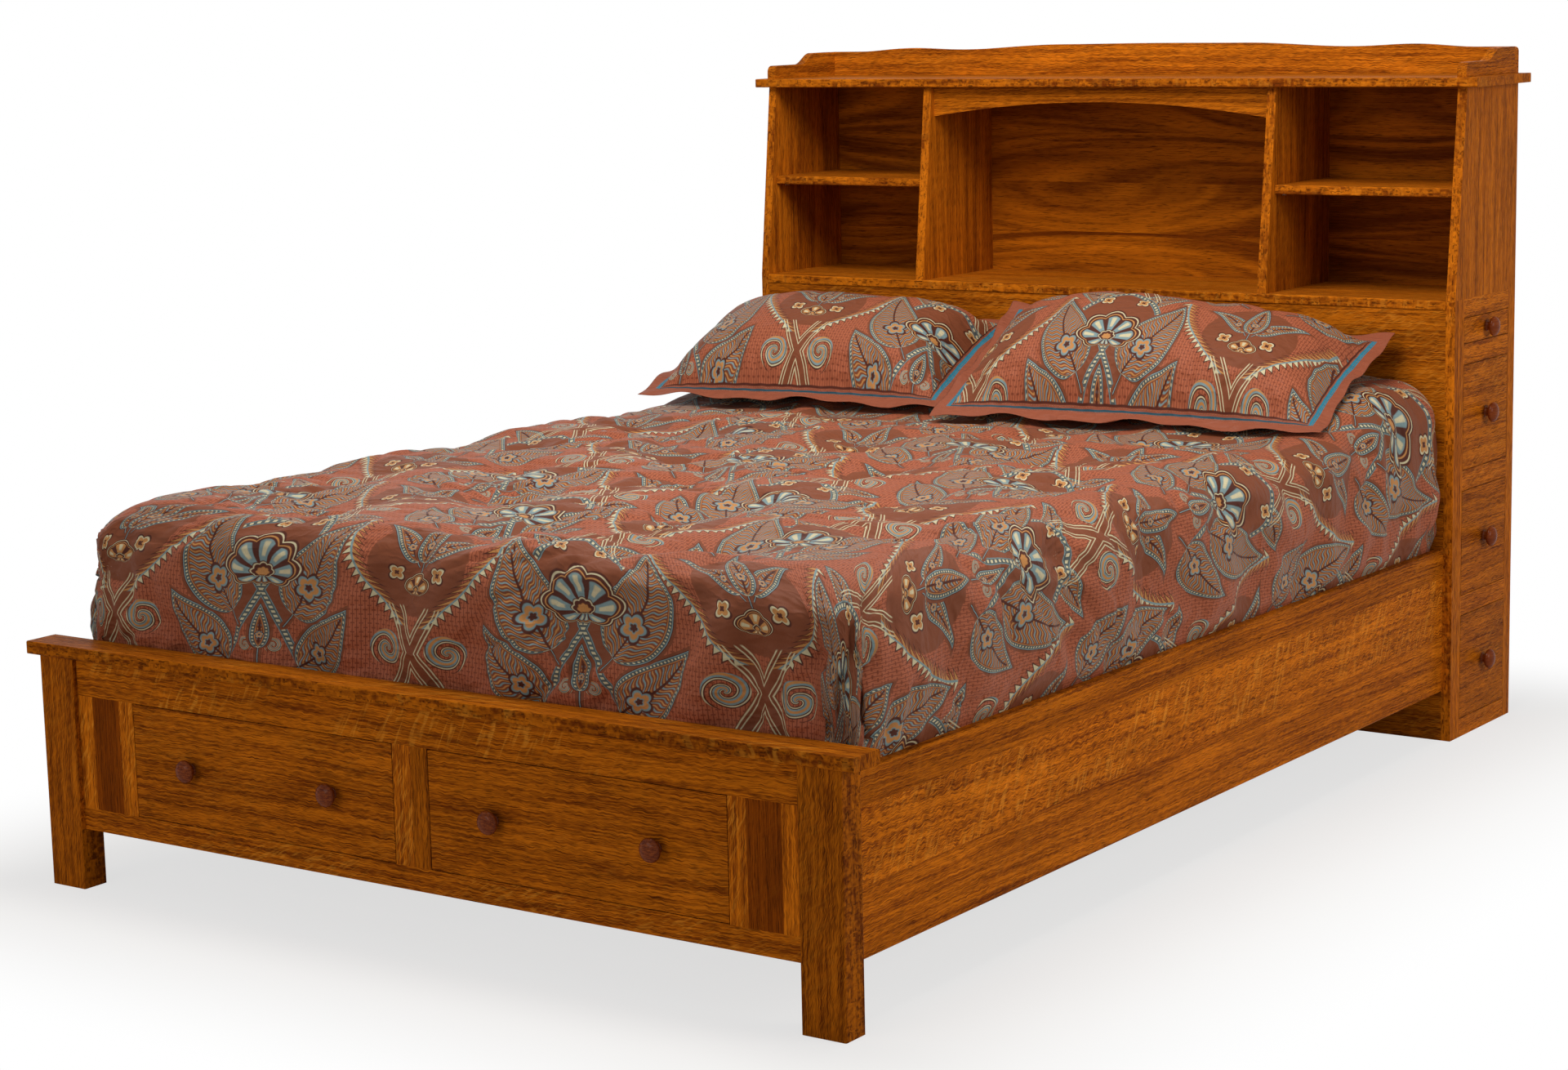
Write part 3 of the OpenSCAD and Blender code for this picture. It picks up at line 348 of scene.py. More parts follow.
@dataclass(frozen=True)
class Oak:
    """Oak under a brown stain and a satin varnish.

    Attributes:
        name: The finish's name.
        grain: The axis that the grain runs along.
        face: The axis that the show face looks along.
        tone: How light the stain took, 1 being usual; on the gallery's back it is raised as painted highlight.
        fleck: How much ray fleck shows.
        fleck_size: Width and length of a ray fleck.
        slant: The angle of the flecks to the grain, in degrees.
        lean: The angle of the fine ripples to the grain, in degrees.
        ripple: How strong the fine rippled figure is.
        plain: How strong the arched figure of a plain-sliced board is.
        pitch: The width of a plain-sliced board.
        boards: The boards of a glued-up panel, from the lowest place across up.
        crossed: Between these places across, the grain runs the other way, as in a frame's rails.
        seed: Moves the figure.
        knob_from: How far out from the bed's middle a turned knob begins, or nothing.
        light: The lightest colour of the stained wood.
        dark: The darkest one.
        ray: The colour of the flecks.
        pore: The colour of the pores.
        gloss: The varnish's roughness.
    """

    name: str
    grain: Axis
    face: Axis
    tone: float = 1.0
    fleck: float = 0.5
    fleck_size: Pair = (0.004, 0.03)
    slant: float = 58.0
    lean: float = 14.0
    ripple: float = 0.5
    plain: float = 0.0
    pitch: float = 0.24
    boards: tuple[Board, ...] = ()
    crossed: Optional[Pair] = None
    seed: float = 0.0
    knob_from: Optional[float] = None
    light: str = "#C86E12"
    dark: str = "#6C3009"
    ray: str = "#DC8E2C"
    pore: str = "#3E1C06"
    gloss: float = 0.36

    def boards_sum(self, across: Wire, pick: Callable[[Board], float]) -> Number:
        """Give each board of the panel its own number.

        Args:
            across: The place across the panel.
            pick: Takes the number from a board.

        Returns:
            A number that steps at each glue line.
        """
        value: Number = pick(self.boards[0])
        for before, board in zip(self.boards, self.boards[1:]):
            value = across.above(board.start) * (pick(board) - pick(before)) + value
        return value

    def figure(self, bench: Bench) -> tuple[Wire, Wire, Wire, Wire]:
        """Lay out the figure of the wood.

        Args:
            bench: The material's bench.

        Returns:
            The streaks, the pores, the fleck and how light each place is.
        """
        split = bench.across(bench.place())
        axes = {Axis.X: split, Axis.Y: split.also("Y"), Axis.Z: split.also("Z")}
        along, depth = axes.pop(self.grain), axes.pop(self.face)
        across = axes.popitem()[1]
        tone, fleck, ripple, shift = self.tone, self.fleck, self.ripple, self.seed
        if self.boards:
            tone = self.boards_sum(across, lambda board: board.tone * self.tone)
            fleck = self.boards_sum(across, lambda board: board.fleck)
            ripple = self.boards_sum(across, lambda board: board.ripple)
            shift = self.boards_sum(across, lambda board: 3.1 * self.boards.index(board) + self.seed)
        if self.crossed:
            rail = across.above(self.crossed[0]) * across.below(self.crossed[1])
            turn = rail * (across - along)
            along, across = along + turn, across - turn
            shift = rail * 5.3 + shift
        grain = bench.vector(across + shift, along + shift, depth + self.seed * 0.37)
        wander = bench.cloud(grain, (3.0, 1.1, 3.0), 1.0)
        waves = bench.cloud(bench.turned(grain, self.lean), (45.0, 75.0, 30.0), 1.0)
        sway = (wander - 0.5) * 0.03 + (waves - 0.5) * ripple * 0.011
        bent = bench.vector(across + sway + shift, along + shift, depth)
        fine = bench.cloud(bent, (520.0, 7.0, 120.0), 3.0, 0.62)
        broad = bench.cloud(bent, (75.0, 1.6, 30.0), 3.0, 0.55)
        dashes = bench.cloud(bench.turned(bent, self.lean), (620.0, 60.0, 90.0), 1.0)
        streaks = 0.5 + (fine - 0.5) * 1.5 + (broad - 0.5) * 0.9 + (dashes - 0.5) * ripple * 1.5
        if self.plain:
            arches = self.arches(bench, across, along, depth, shift)
            streaks = streaks * (1.0 - self.plain) + arches.rise(0.3, 0.7) * self.plain
        pores = bench.cloud(bent, (1000.0, 40.0, 300.0), 1.0).rise(0.55, 0.68)
        width, length = self.fleck_size
        ribbon = bench.cloud(bench.turned(grain, self.slant), (0.6 / width, 0.6 / length, 30.0), 2.0, 0.5, 0.8)
        patches = bench.cloud(grain, (9.0, 4.0, 6.0), 1.0).rise(0.36, 0.6)
        mottle = bench.cloud(grain, (22.0, 7.0, 10.0), 3.0)
        return streaks, pores, ribbon.rise(0.5, 0.66) * patches * fleck, (mottle * 0.5 + 0.77) * tone

    def arches(self, bench: Bench, across: Wire, along: Wire, depth: Wire, shift: Number) -> Wire:
        """Draw the arched growth lines of a plain-sliced board.

        Args:
            bench: The material's bench.
            across: The place across the grain.
            along: The place along it.
            depth: The depth in the board.
            shift: Moves the figure from board to board.

        Returns:
            The lines, from 0 to 1.
        """
        board = (across / self.pitch).floor()
        local = across.wrapped(self.pitch) + 0.02
        sway = bench.cloud(bench.vector(along * 0.9 + board * 7.3 + shift, local * 1.6, self.seed), detail=1.0)
        heart = 0.05 + (sway - 0.5) * 0.08 + depth * 0.3
        ring = local.length_with(heart) * 150.0
        return bench.cloud(bench.vector(ring, along * 0.9 + board * 3.1), detail=3.0, rough=0.62)

    def build(self) -> bpy.types.Material:
        """Build the material."""
        bench = Bench(self.name)
        streaks, pores, fleck, lightness = self.figure(bench)
        wood = Layers(bench, streaks.rise(0.08, 0.9), self.dark, self.light)
        wood.lay(fleck * 0.55, self.ray)
        wood.lay(pores * 0.65, self.pore)
        colour = bench.dimmed(wood.colour, lightness)
        rough = pores * 0.14 + self.gloss - fleck * 0.06
        coat: Number = 0.0
        if self.knob_from:
            knob = abs(bench.across(bench.place())).above(self.knob_from)
            turned = bench.mixed(streaks, paint(Turned.dark), paint(Turned.light))
            colour = bench.mixed(knob, colour, turned)
            rough = rough - knob * 0.1
            coat = knob * 0.12
        return bench.coat(
            Base_Color=colour,
            Roughness=rough,
            Normal=bench.bump(streaks * 0.4 + (1.0 - pores) * 0.6, 0.0002),
            Coat_Weight=coat,
            Coat_Roughness=0.1,
            Specular_IOR_Level=0.008,
        )


@dataclass(frozen=True)
class Turned:
    """End grain of a turned knob, stained darker than the boards."""

    name: str = "knob_wood"
    dark: str = "#561E08"
    light: str = "#8C4416"
    pore: str = "#2A1006"

    def build(self) -> bpy.types.Material:
        """Build the material."""
        bench = Bench(self.name)
        place = bench.place()
        lines = bench.cloud(place, (90.0, 260.0, 380.0), 3.0, 0.6)
        pores = bench.cloud(place, (240.0, 900.0, 900.0), 1.0).rise(0.55, 0.68)
        wood = Layers(bench, lines.rise(0.25, 0.8), self.dark, self.light)
        wood.lay(pores * 0.5, self.pore)
        return bench.coat(
            Base_Color=wood.colour,
            Roughness=pores * 0.12 + 0.26,
            Normal=bench.bump(lines, 0.0002),
            Coat_Weight=0.12,
            Coat_Roughness=0.08,
            Specular_IOR_Level=0.02,
        )


@dataclass(frozen=True)
class Zinc:
    """Dull zinc plating of the rail brackets, screws and shelf pins."""

    name: str = "zinc"

    def build(self) -> bpy.types.Material:
        """Build the material."""
        bench = Bench(self.name)
        place = bench.place()
        spangle = bench.cloud(place, (160.0, 160.0, 160.0), 3.0, 0.6)
        scuffs = bench.cloud(place, (900.0, 60.0, 60.0), 2.0).rise(0.5, 0.8)
        return bench.coat(
            Base_Color=bench.mixed(spangle, paint("#8F9092"), paint("#C9CACB")),
            Metallic=1.0,
            Roughness=spangle * 0.2 + 0.3 + scuffs * 0.15,
            Normal=bench.bump(scuffs, 0.0001),
        )


@dataclass(frozen=True)
class Ticking:
    """Cream mattress ticking with narrow woven stripes."""

    name: str = "ticking"
    pitch: float = 0.024

    def build(self) -> bpy.types.Material:
        """Build the material."""
        bench = Bench(self.name)
        place = bench.place()
        stripe = abs(bench.across(place).wrapped(self.pitch))
        line = stripe.band(0.0, 0.0016, 0.0003).most(stripe.band(0.0034, 0.0044, 0.0003))
        weave = (bench.cloud(place, (900.0, 900.0, 900.0), 1.0) - 0.5) * 0.3 + 1.0
        colour = bench.mixed(line * 0.8, paint("#DDD5C2"), paint("#74808C"))
        return bench.coat(
            Base_Color=bench.dimmed(colour, weave),
            Roughness=0.85,
            Normal=bench.bump(weave, 0.0004),
            Sheen_Weight=0.2,
        )


@dataclass(frozen=True)
class Plain:
    """A plain cloth or thread in one colour with a fine twill in it."""

    name: str
    colour: str

    def build(self) -> bpy.types.Material:
        """Build the material."""
        bench = Bench(self.name)
        place = bench.place()
        twill = bench.cloud(place, (1400.0, 1400.0, 1400.0), 1.0)
        fade = bench.cloud(place, (18.0, 18.0, 18.0), 2.0)
        return bench.coat(
            Base_Color=bench.dimmed(paint(self.colour)[:3], twill * 0.4 + fade * 0.3 + 0.65),
            Roughness=0.7,
            Normal=bench.bump(twill, 0.0004),
            Sheen_Weight=0.2,
        )


class Yarn(str, Enum):
    """A yarn of the bedding cloth, by its colour, and one stripe colour darkened as painted shade."""

    GROUND = "#9C563A"
    OUTLINE = "#662E1C"
    SATIN = "#733E26"
    SHADE = "#472014"
    BLUE = "#72888A"
    SLATE = "#4A5252"
    CREAM = "#BEB390"
    GOLD = "#B07A44"
    FLANGE = "#8A4A33"
    # The teal stripe along the flange's long edges, darkened as painted shade: the same stripe as END_STRIPE, dimmed as
    # if in shadow.
    PAINTED_SHADE_STRIPE = "#1D4350"
    END_STRIPE = "#2A7388"
    SEAM = "#4A2014"


class Weaving(Layers):
    """The bedding cloth as motif after motif is woven into its brick-like ground.

    Attributes:
        x: The place across, from the middle of the motif in hand.
        y: The place up it.
    """

    BRICK = (0.0056, 0.014)

    def __init__(self, bench: Bench, u: Wire, v: Wire) -> None:
        """Weave the ground: upright bricks with thin dark outlines.

        Args:
            bench: The material's bench.
            u: The place across the cloth.
            v: The place along it.
        """
        wide, tall = self.BRICK
        stagger = v + ((u / wide).floor() * 0.5).fraction() * tall
        joint = abs(u.wrapped(wide)).rise(0.0018, 0.0026)
        bed = abs(stagger.wrapped(tall)).rise(0.0054, 0.0066)
        super().__init__(bench, joint.most(bed) * 0.8, Yarn.GROUND, Yarn.OUTLINE)
        self.x, self.y = u, v

    def about(self, at: Pair) -> tuple[Wire, Wire]:
        """Return the distance from a place in the motif, and the turn about it from upright."""
        x, y = self.x - at[0], self.y - at[1]
        return x.length_with(y), x.angle_to(y)

    def leaf(self, at: Pair, lean: float, size: Pair, bend: float) -> None:
        """Weave a pointed leaf with a beaded border and a flower and foliage in it.

        Args:
            at: The leaf's round end.
            lean: The direction of its tip, in radians from upright.
            size: Its length and half its width.
            bend: How far the tip is bent sideways.
        """
        length, width = size
        dx, dy = self.x - at[0], self.y - at[1]
        along = dx * math.sin(lean) + dy * math.cos(lean)
        part = along / length
        across = dx * math.cos(lean) - dy * math.sin(lean) - part * part * part * bend
        off = abs(across)
        below = (-0.025 - along).most(0.0)
        edge = (part.most(0.0) ** 0.5) * (1.0 - part) * (2.6 * width) - off - below
        beads = (along * 1250.0).sin() * edge.band(0.0022, 0.0045, 0.0006)
        veins = ((along - off * 0.9) * 92.0 + (off * 330.0).sin() * 0.22).fraction()
        ground = edge.rise(0.0058, 0.0066)
        fill = edge.rise(0.0088, 0.0098)
        self.lay(edge.rise(-0.0064, -0.0054), Yarn.SATIN)
        self.lay(edge.rise(-0.0022, -0.0016), Yarn.SHADE)
        self.lay(edge.rise(-0.001, -0.0004), Yarn.BLUE)
        self.lay(edge.rise(0.0004, 0.001), Yarn.SLATE)
        self.lay(beads.rise(0.0, 0.35), Yarn.CREAM)
        self.lay(ground, Yarn.SATIN)
        self.lay(edge.band(0.0066, 0.0076, 0.0004), Yarn.GOLD)
        self.lay(veins.band(0.1, 0.34, 0.06) * fill, Yarn.BLUE)
        self.lay(veins.band(0.58, 0.8, 0.06) * fill, Yarn.GOLD)
        self.lay(off.rise(0.0022, 0.0014) * fill, Yarn.SHADE)
        up = along - length * 0.3
        petal = abs((across.angle_to(up) * 2.5).cos()) * 0.35 + 0.65
        flower = up.length_with(across) / (petal * (width * 0.42))
        self.lay(flower.rise(1.3, 1.2) * ground, Yarn.SHADE)
        self.lay(flower.band(0.3, 1.0, 0.06), Yarn.BLUE)
        self.lay(flower.band(0.4, 0.8, 0.06), Yarn.GOLD)

    def fan(self, foot: float, size: float, petals: float, tint: str) -> None:
        """Weave a fan of petals that opens upwards.

        Args:
            foot: The height of the fan's foot.
            size: The fan's radius.
            petals: Petals in half a turn.
            tint: The petals' colour.
        """
        away, turn = self.about((0.0, foot))
        lobe = abs((turn * petals).cos())
        reach = (lobe * 0.16 + 0.84) * turn.rise(1.3, 2.7, 1.0, 0.3) * (turn.cos() * 0.08 + 1.0) * size
        depth = away / reach
        petal = lobe.rise(0.4, 0.62)
        vein = lobe.rise(0.86, 0.97)
        self.lay(depth.rise(1.34, 1.3), Yarn.SHADE)
        self.lay(depth.band(1.2, 1.25, 0.012), Yarn.CREAM)
        self.lay(depth.band(1.05, 1.1, 0.012), Yarn.GOLD)
        self.lay(depth.band(0.36, 0.98, 0.02) * petal, tint)
        self.lay(depth.band(0.5, 0.92, 0.04) * vein, Yarn.CREAM)
        self.lay(depth.band(0.29, 0.33, 0.015), Yarn.CREAM)
        self.lay(depth.rise(0.2, 0.15), Yarn.GOLD)

    def spray(self, foot: float, tip: float) -> None:
        """Weave two sprays of small leaves that open upwards like a lyre, with satin between.

        Args:
            foot: The height at which the sprays begin.
            tip: The height at which they end.
        """
        up = self.y - foot
        off = self.x - (up * 1.2 - up * up * 2.9 + 0.024)
        far = abs(off)
        shown = self.y.band(foot, tip, 0.002)
        outer = off.above(0.0)
        cell = abs((up * 98.0 + far * 55.0).fraction() - 0.5)
        heart = self.about((0.0, 0.03))[0].rise(0.09, 0.088)
        leaf = (cell + far * 26.0).rise(0.45, 0.37) * shown
        self.lay(off.rise(0.001, -0.001) * self.y.rise(foot - 0.002, foot) * heart, Yarn.SATIN)
        self.lay((cell + far * 22.0).rise(0.54, 0.46) * shown, Yarn.SHADE)
        self.lay(leaf * (1.0 - outer), Yarn.GOLD)
        self.lay(leaf * outer, Yarn.CREAM)
        self.lay(far.rise(0.0022, 0.0014) * shown, Yarn.BLUE)

    def floret(self, at: Pair, size: float) -> None:
        """Weave a small flower of four petals.

        Args:
            at: Its middle.
            size: Its radius.
        """
        away, turn = self.about(at)
        depth = away / ((abs((turn * 2.0).sin()) * 0.45 + 0.55) * size)
        self.lay(depth.rise(1.3, 1.22), Yarn.SHADE)
        self.lay(depth.rise(1.06, 1.0), Yarn.CREAM)
        self.lay(depth.rise(0.82, 0.76), Yarn.GOLD)
        self.lay(depth.rise(0.36, 0.3), Yarn.SHADE)

    def crook(self, at: Pair, size: float, hand: float) -> None:
        """Weave a curled crook with narrow stripes along it.

        Args:
            at: The curl's middle.
            size: Its radius.
            hand: 1 or -1, the way it turns.
        """
        away, turn = self.about(at)
        arm = abs(((away / size) ** 0.7 * 1.6 + turn * (hand / (2 * math.pi))).fraction() - 0.5)
        inside = away.rise(size, size * 0.95)
        self.lay(arm.rise(0.42, 0.38) * inside, Yarn.SHADE)
        self.lay(arm.band(0.26, 0.33, 0.02) * inside, Yarn.CREAM)
        self.lay(arm.rise(0.22, 0.18) * inside, Yarn.BLUE)
        self.lay(arm.rise(0.1, 0.06) * inside, Yarn.GOLD)

    def stem(self, off: Wire, shown: Number, beads: Wire) -> None:
        """Weave a beaded stem.

        Args:
            off: The distance from its middle.
            shown: Where it runs.
            beads: The place along it in beads.
        """
        self.lay(off.rise(0.0066, 0.0056) * shown, Yarn.SLATE)
        self.lay(off.band(0.0046, 0.0056, 0.0004) * shown, Yarn.BLUE)
        self.lay(off.rise(0.003, 0.002) * beads.sin().rise(-0.2, 0.2) * shown, Yarn.CREAM)

    def sprays(self, x: Wire, y: Wire) -> None:
        """Weave the lesser motif: a heart of two sprays over crossed stems and crooks.

        Args:
            x: The place across, from the motif's middle.
            y: The place up it.
        """
        self.x, self.y = x, y
        vee = abs(x - abs(y + 0.115) * 0.55)
        legs = y.band(-0.21, -0.045, 0.002)
        self.lay(vee.rise(0.0165, 0.0155) * legs, Yarn.SATIN)
        self.crook((0.052, -0.115), 0.03, -1.0)
        self.leaf((0.03, -0.235), 0.75, (0.1, 0.026), 0.02)
        self.spray(-0.075, 0.115)
        lines = vee.band(0.012, 0.0142, 0.0006).most(vee.band(0.0062, 0.008, 0.0006))
        self.lay(lines * legs, Yarn.CREAM)
        self.leaf((0.012, 0.03), 0.62, (0.1, 0.017), 0.03)
        self.leaf((0.0, 0.03), 0.0, (0.105, 0.02), 0.0)
        self.floret((0.042, 0.006), 0.014)
        self.fan(-0.02, 0.022, 2.5, Yarn.GOLD)

    def fans(self, x: Wire, y: Wire) -> None:
        """Weave the main motif: a fan under a pointed hood, with leaves round it.

        Args:
            x: The place across, from the motif's middle.
            y: The place up it.
        """
        self.x, self.y = x, y
        hood = (x + 0.035).length_with(y - 0.005)
        self.lay(hood.rise(0.122, 0.12) * y.rise(-0.16, -0.155), Yarn.SATIN)
        self.stem(abs(hood - 0.122), y.rise(-0.02, -0.01), x.angle_to(y + 0.02) * 90.0)
        self.stem(abs(x - abs(y + 0.048) * 0.52), y.band(-0.165, -0.03, 0.002), y * 900.0)
        self.crook((0.02, -0.135), 0.0125, 1.0)
        self.leaf((0.0, -0.14), 0.0, (0.068, 0.013), 0.0)
        self.leaf((0.058, -0.168), 0.95, (0.14, 0.04), -0.03)
        self.leaf((0.046, -0.085), 0.6, (0.19, 0.05), -0.045)
        self.floret((0.036, 0.088), 0.013)
        self.fan(-0.022, 0.053, 4.5, Yarn.BLUE)


@dataclass(frozen=True)
class Jacquard:
    """Woven bedding cloth: a brick-like ground with leaves, fans and sprays in a half drop.

    Attributes:
        name: The finish's name.
        repeat: Width and length of the pattern's repeat in metres of cloth.
        shift: Where the pattern starts on the cloth.
        flange: Half width and half length of the cushion inside a sham's flange, or nothing.
    """

    name: str
    repeat: Pair = (0.537, 0.62)
    shift: Pair = (0.296, 1.145)
    flange: Optional[Pair] = None

    def pattern(self, bench: Bench, u: Wire, v: Wire) -> Weaving:
        """Lay the motifs over the ground.

        Args:
            bench: The material's bench.
            u: The place across the cloth.
            v: The place along it.

        Returns:
            The cloth with its motifs.
        """
        cloth = Weaving(bench, u, v)
        wide, long = self.repeat
        x0 = abs((u + self.shift[0]).wrapped(wide))
        x1 = wide / 2 - x0
        y0 = (v + self.shift[1]).wrapped(long)
        y1 = (v + self.shift[1] + long / 2).wrapped(long)
        # Which of two neighbouring motifs a point belongs to
        first = (x0 / (wide / 2) + abs(y0) / (long / 2)).above(1.0)
        second = (x0 / (wide / 2) + abs(y1) / (long / 2)).above(1.0)
        cloth.sprays(x0 + second * (x1 - x0), y1 + second * (y0 - y1))
        cloth.fans(x0 + first * (x1 - x0), y0 + first * (y1 - y0))
        return cloth

    def trim(self, cloth: Weaving, u: Wire, v: Wire) -> None:
        """Weave the flange with its stripes and seam; the stripe along the long edges is darkened as painted shade.

        Args:
            cloth: The cloth so far.
            u: The place across the sham.
            v: The place up it.
        """
        end, front = abs(u) - self.flange[0], abs(v) - self.flange[1]
        edge = end.most(front)
        cloth.lay(edge.rise(-0.0005, 0.0005), Yarn.FLANGE)
        # Painted shade: the stripe along the long edges takes a darker teal than the one at the ends.
        cloth.lay(front.band(0.0035, 0.0068, 0.0005) * end.rise(0.0068, 0.006), Yarn.PAINTED_SHADE_STRIPE)
        cloth.lay(end.band(0.003, 0.0125, 0.0006) * front.rise(0.0068, 0.006), Yarn.END_STRIPE)
        cloth.lay(edge.band(-0.0015, 0.0008, 0.0005), Yarn.SEAM)

    def build(self) -> bpy.types.Material:
        """Build the material."""
        bench = Bench(self.name)
        u = bench.across(bench.add("ShaderNodeUVMap", {"uv_map": CLOTH_MAP}))
        v = u.also("Y")
        cloth = self.pattern(bench, u, v)
        threads = bench.cloud(bench.vector(u * 1500.0, v * 260.0), detail=1.0)
        cloth.colour = bench.dimmed(cloth.colour, threads * 0.35 + 0.83)
        rough = bench.add("ShaderNodeRGBToBW", {}, {0: cloth.colour}).rise(0.1, 0.4, 0.56, 0.4)
        if self.flange:
            self.trim(cloth, u, v)
        creases = bench.cloud(bench.vector(u * 19.0, v * 31.0))
        sharp = 1.0 - abs(creases * 2.0 - 1.0)
        return bench.coat(
            Base_Color=cloth.colour,
            Roughness=rough,
            Normal=bench.bump(threads * 0.05 + sharp, 0.006),
            Sheen_Weight=0.03,
            Sheen_Roughness=0.4,
            Specular_IOR_Level=0.13,
        )


# Woodwork


class Joiner:
    """Dresses the wooden nodes of a sub-assembly in their finishes."""

    def dress(self, *rows: tuple) -> None:
        """Give every material slot of some nodes one finish.

        Args:
            rows: Each a finish with a build method, followed by the nodes that take it.
        """
        for finish, *names in rows:
            material = finish.build()
            for name in names:
                slots = NODES[name].data.materials
                for i in range(len(slots)):
                    slots[i] = material
            log.info("%s: %s", finish.name, ", ".join(names))


@dataclass
class Footboard(Joiner):
    """The legs, cap and face frame at the foot."""

    centre_split: float = 0.002

    def build(self) -> None:
        """Dress the footboard."""
        stiles = (Board(-1.0, 1.12, 0.7), Board(self.centre_split, 0.72, 0.1), Board(0.3, 1.12, 0.7))
        face = (Axis.X, Axis.Y)
        self.dress(
            (Oak("foot_leg_left_oak", Axis.Z, Axis.Y, 0.92, 0.15, seed=1.3), "foot_leg_left"),
            (Oak("foot_leg_right_oak", Axis.Z, Axis.Y, 0.7, 0.2, ripple=0.6, seed=4.7), "foot_leg_right"),
            (Oak("cap_oak", Axis.X, Axis.Z, 0.77, 0.9, (0.006, 0.07), 28.0, 0.4, seed=2.2), "foot_cap"),
            (Oak("top_rail_oak", *face, 0.92, 1.0, (0.006, 0.045), 62.0, 0.35, seed=7.9), "foot_top_rail"),
            (Oak("bottom_rail_oak", *face, 0.98, 0.7, (0.003, 0.02), 24.0, 0.9, seed=3.1), "foot_bottom_rail"),
            (
                Oak("stile_oak", Axis.Z, Axis.Y, 1.0, 0.7, (0.0035, 0.022), 24.0, 0.7, boards=stiles, seed=5.6),
                "foot_stiles",
            ),
            (
                Oak("infill_oak", Axis.Z, Axis.Y, 0.7, 0.05, ripple=0.2, light="#A4500C", seed=8.8),
                "foot_infill_boards",
            ),
        )


@dataclass
class Drawers(Joiner):
    """The foot and side drawers: fronts, dovetailed boxes and knobs."""

    side_tones: tuple[float, ...] = (1.05, 0.9, 0.84, 0.82)
    knob_from: float = 0.8082

    def build(self) -> None:
        """Dress the drawers."""
        left = Oak("foot_drawer_left_oak", Axis.X, Axis.Y, 0.9, 0.25, (0.0025, 0.02), 20.0, 1.0, seed=6.4)
        right = Oak("foot_drawer_right_oak", Axis.X, Axis.Y, 0.88, 0.2, (0.0025, 0.02), 16.0, 0.9, seed=9.7)
        self.dress((left, "foot_drawer_left_front"), (right, "foot_drawer_right_front"))
        boxes = ["foot_drawer_left_box", "foot_drawer_right_box"]
        for side in ("left", "right"):
            for i, tone in enumerate(self.side_tones, 1):
                name = f"side_drawer_{side}_{i}"
                look = dict(seed=1.9 * i + 0.4, knob_from=self.knob_from)
                front = Oak(f"{name}_oak", Axis.Y, Axis.X, tone, 0.45, (0.003, 0.02), 30.0, 0.8, **look)
                self.dress((front, f"{name}_front"))
                boxes.append(f"{name}_box")
        pale = dict(light="#E0BE8C", dark="#B98C58", gloss=0.42)
        box = Oak("drawer_box_wood", Axis.Y, Axis.X, 1.0, 0.1, ripple=0.2, **pale)
        self.dress((box, *boxes), (Turned(), "foot_drawer_left_knobs", "foot_drawer_right_knobs"))


PINE = {"light": "#DDBE8E", "dark": "#B48A58"}


@dataclass
class Base(Joiner):
    """The side rails and what carries the mattress."""

    board_starts: Pair = (0.205, 0.322)

    def build(self) -> None:
        """Dress the rails, slats, beam, drawer case and hardware."""
        low, high = self.board_starts
        boards = (Board(-1.0, 1.0, 0.15, 0.45), Board(low, 1.06, 0.75, 1.0), Board(high, 0.86, 0.15, 0.4))
        for side, seed in (("left", 2.7), ("right", 6.1)):
            name = f"side_rail_{side}"
            size = (0.0045, 0.035)
            self.dress((Oak(f"{name}_oak", Axis.Y, Axis.X, 1.0, 0.5, size, 64.0, boards=boards, seed=seed), name))
        pale = dict(PINE, gloss=0.5, ripple=0.2)
        self.dress(
            (
                Oak("case_wood", Axis.Y, Axis.Z, 1.0, 0.05, seed=3.3, **pale),
                "foot_drawer_case",
                "slat_cleats",
                "head_runners",
            ),
            (Oak("slat_wood", Axis.X, Axis.Z, 1.0, 0.0, plain=0.5, pitch=0.09, seed=5.5, **pale), "slats"),
            (Oak("beam_wood", Axis.Y, Axis.X, 0.95, 0.0, plain=0.4, seed=1.2, **pale), "centre_beam"),
            (Zinc(), "rail_brackets", "shelf_pins"),
        )


@dataclass
class HeadboardCase(Joiner):
    """The lower case of the headboard, with the side drawers' openings from foot to head."""

    opening: Pair = (0.961, 1.175)

    def build(self) -> None:
        """Dress the case."""
        for side, seed in (("left", 3.9), ("right", 8.3)):
            look = dict(crossed=self.opening, seed=seed)
            end = Oak(f"head_side_{side}_oak", Axis.Z, Axis.X, 1.04, 0.35, (0.003, 0.022), 24.0, 0.5, **look)
            self.dress((end, f"head_side_frame_{side}"))
        self.dress(
            (Oak("head_front_oak", Axis.X, Axis.Y, 0.82, 0.55, (0.003, 0.02), 26.0, 0.9, seed=4.1), "head_front_panel"),
            (
                Oak("head_back_oak", Axis.X, Axis.Y, 0.75, 0.0, ripple=0.2, plain=0.75, pitch=0.3, seed=2.9),
                "head_back_panel",
            ),
            (Oak("partition_wood", Axis.Z, Axis.X, 0.95, 0.0, ripple=0.2, **PINE), "head_partitions"),
        )


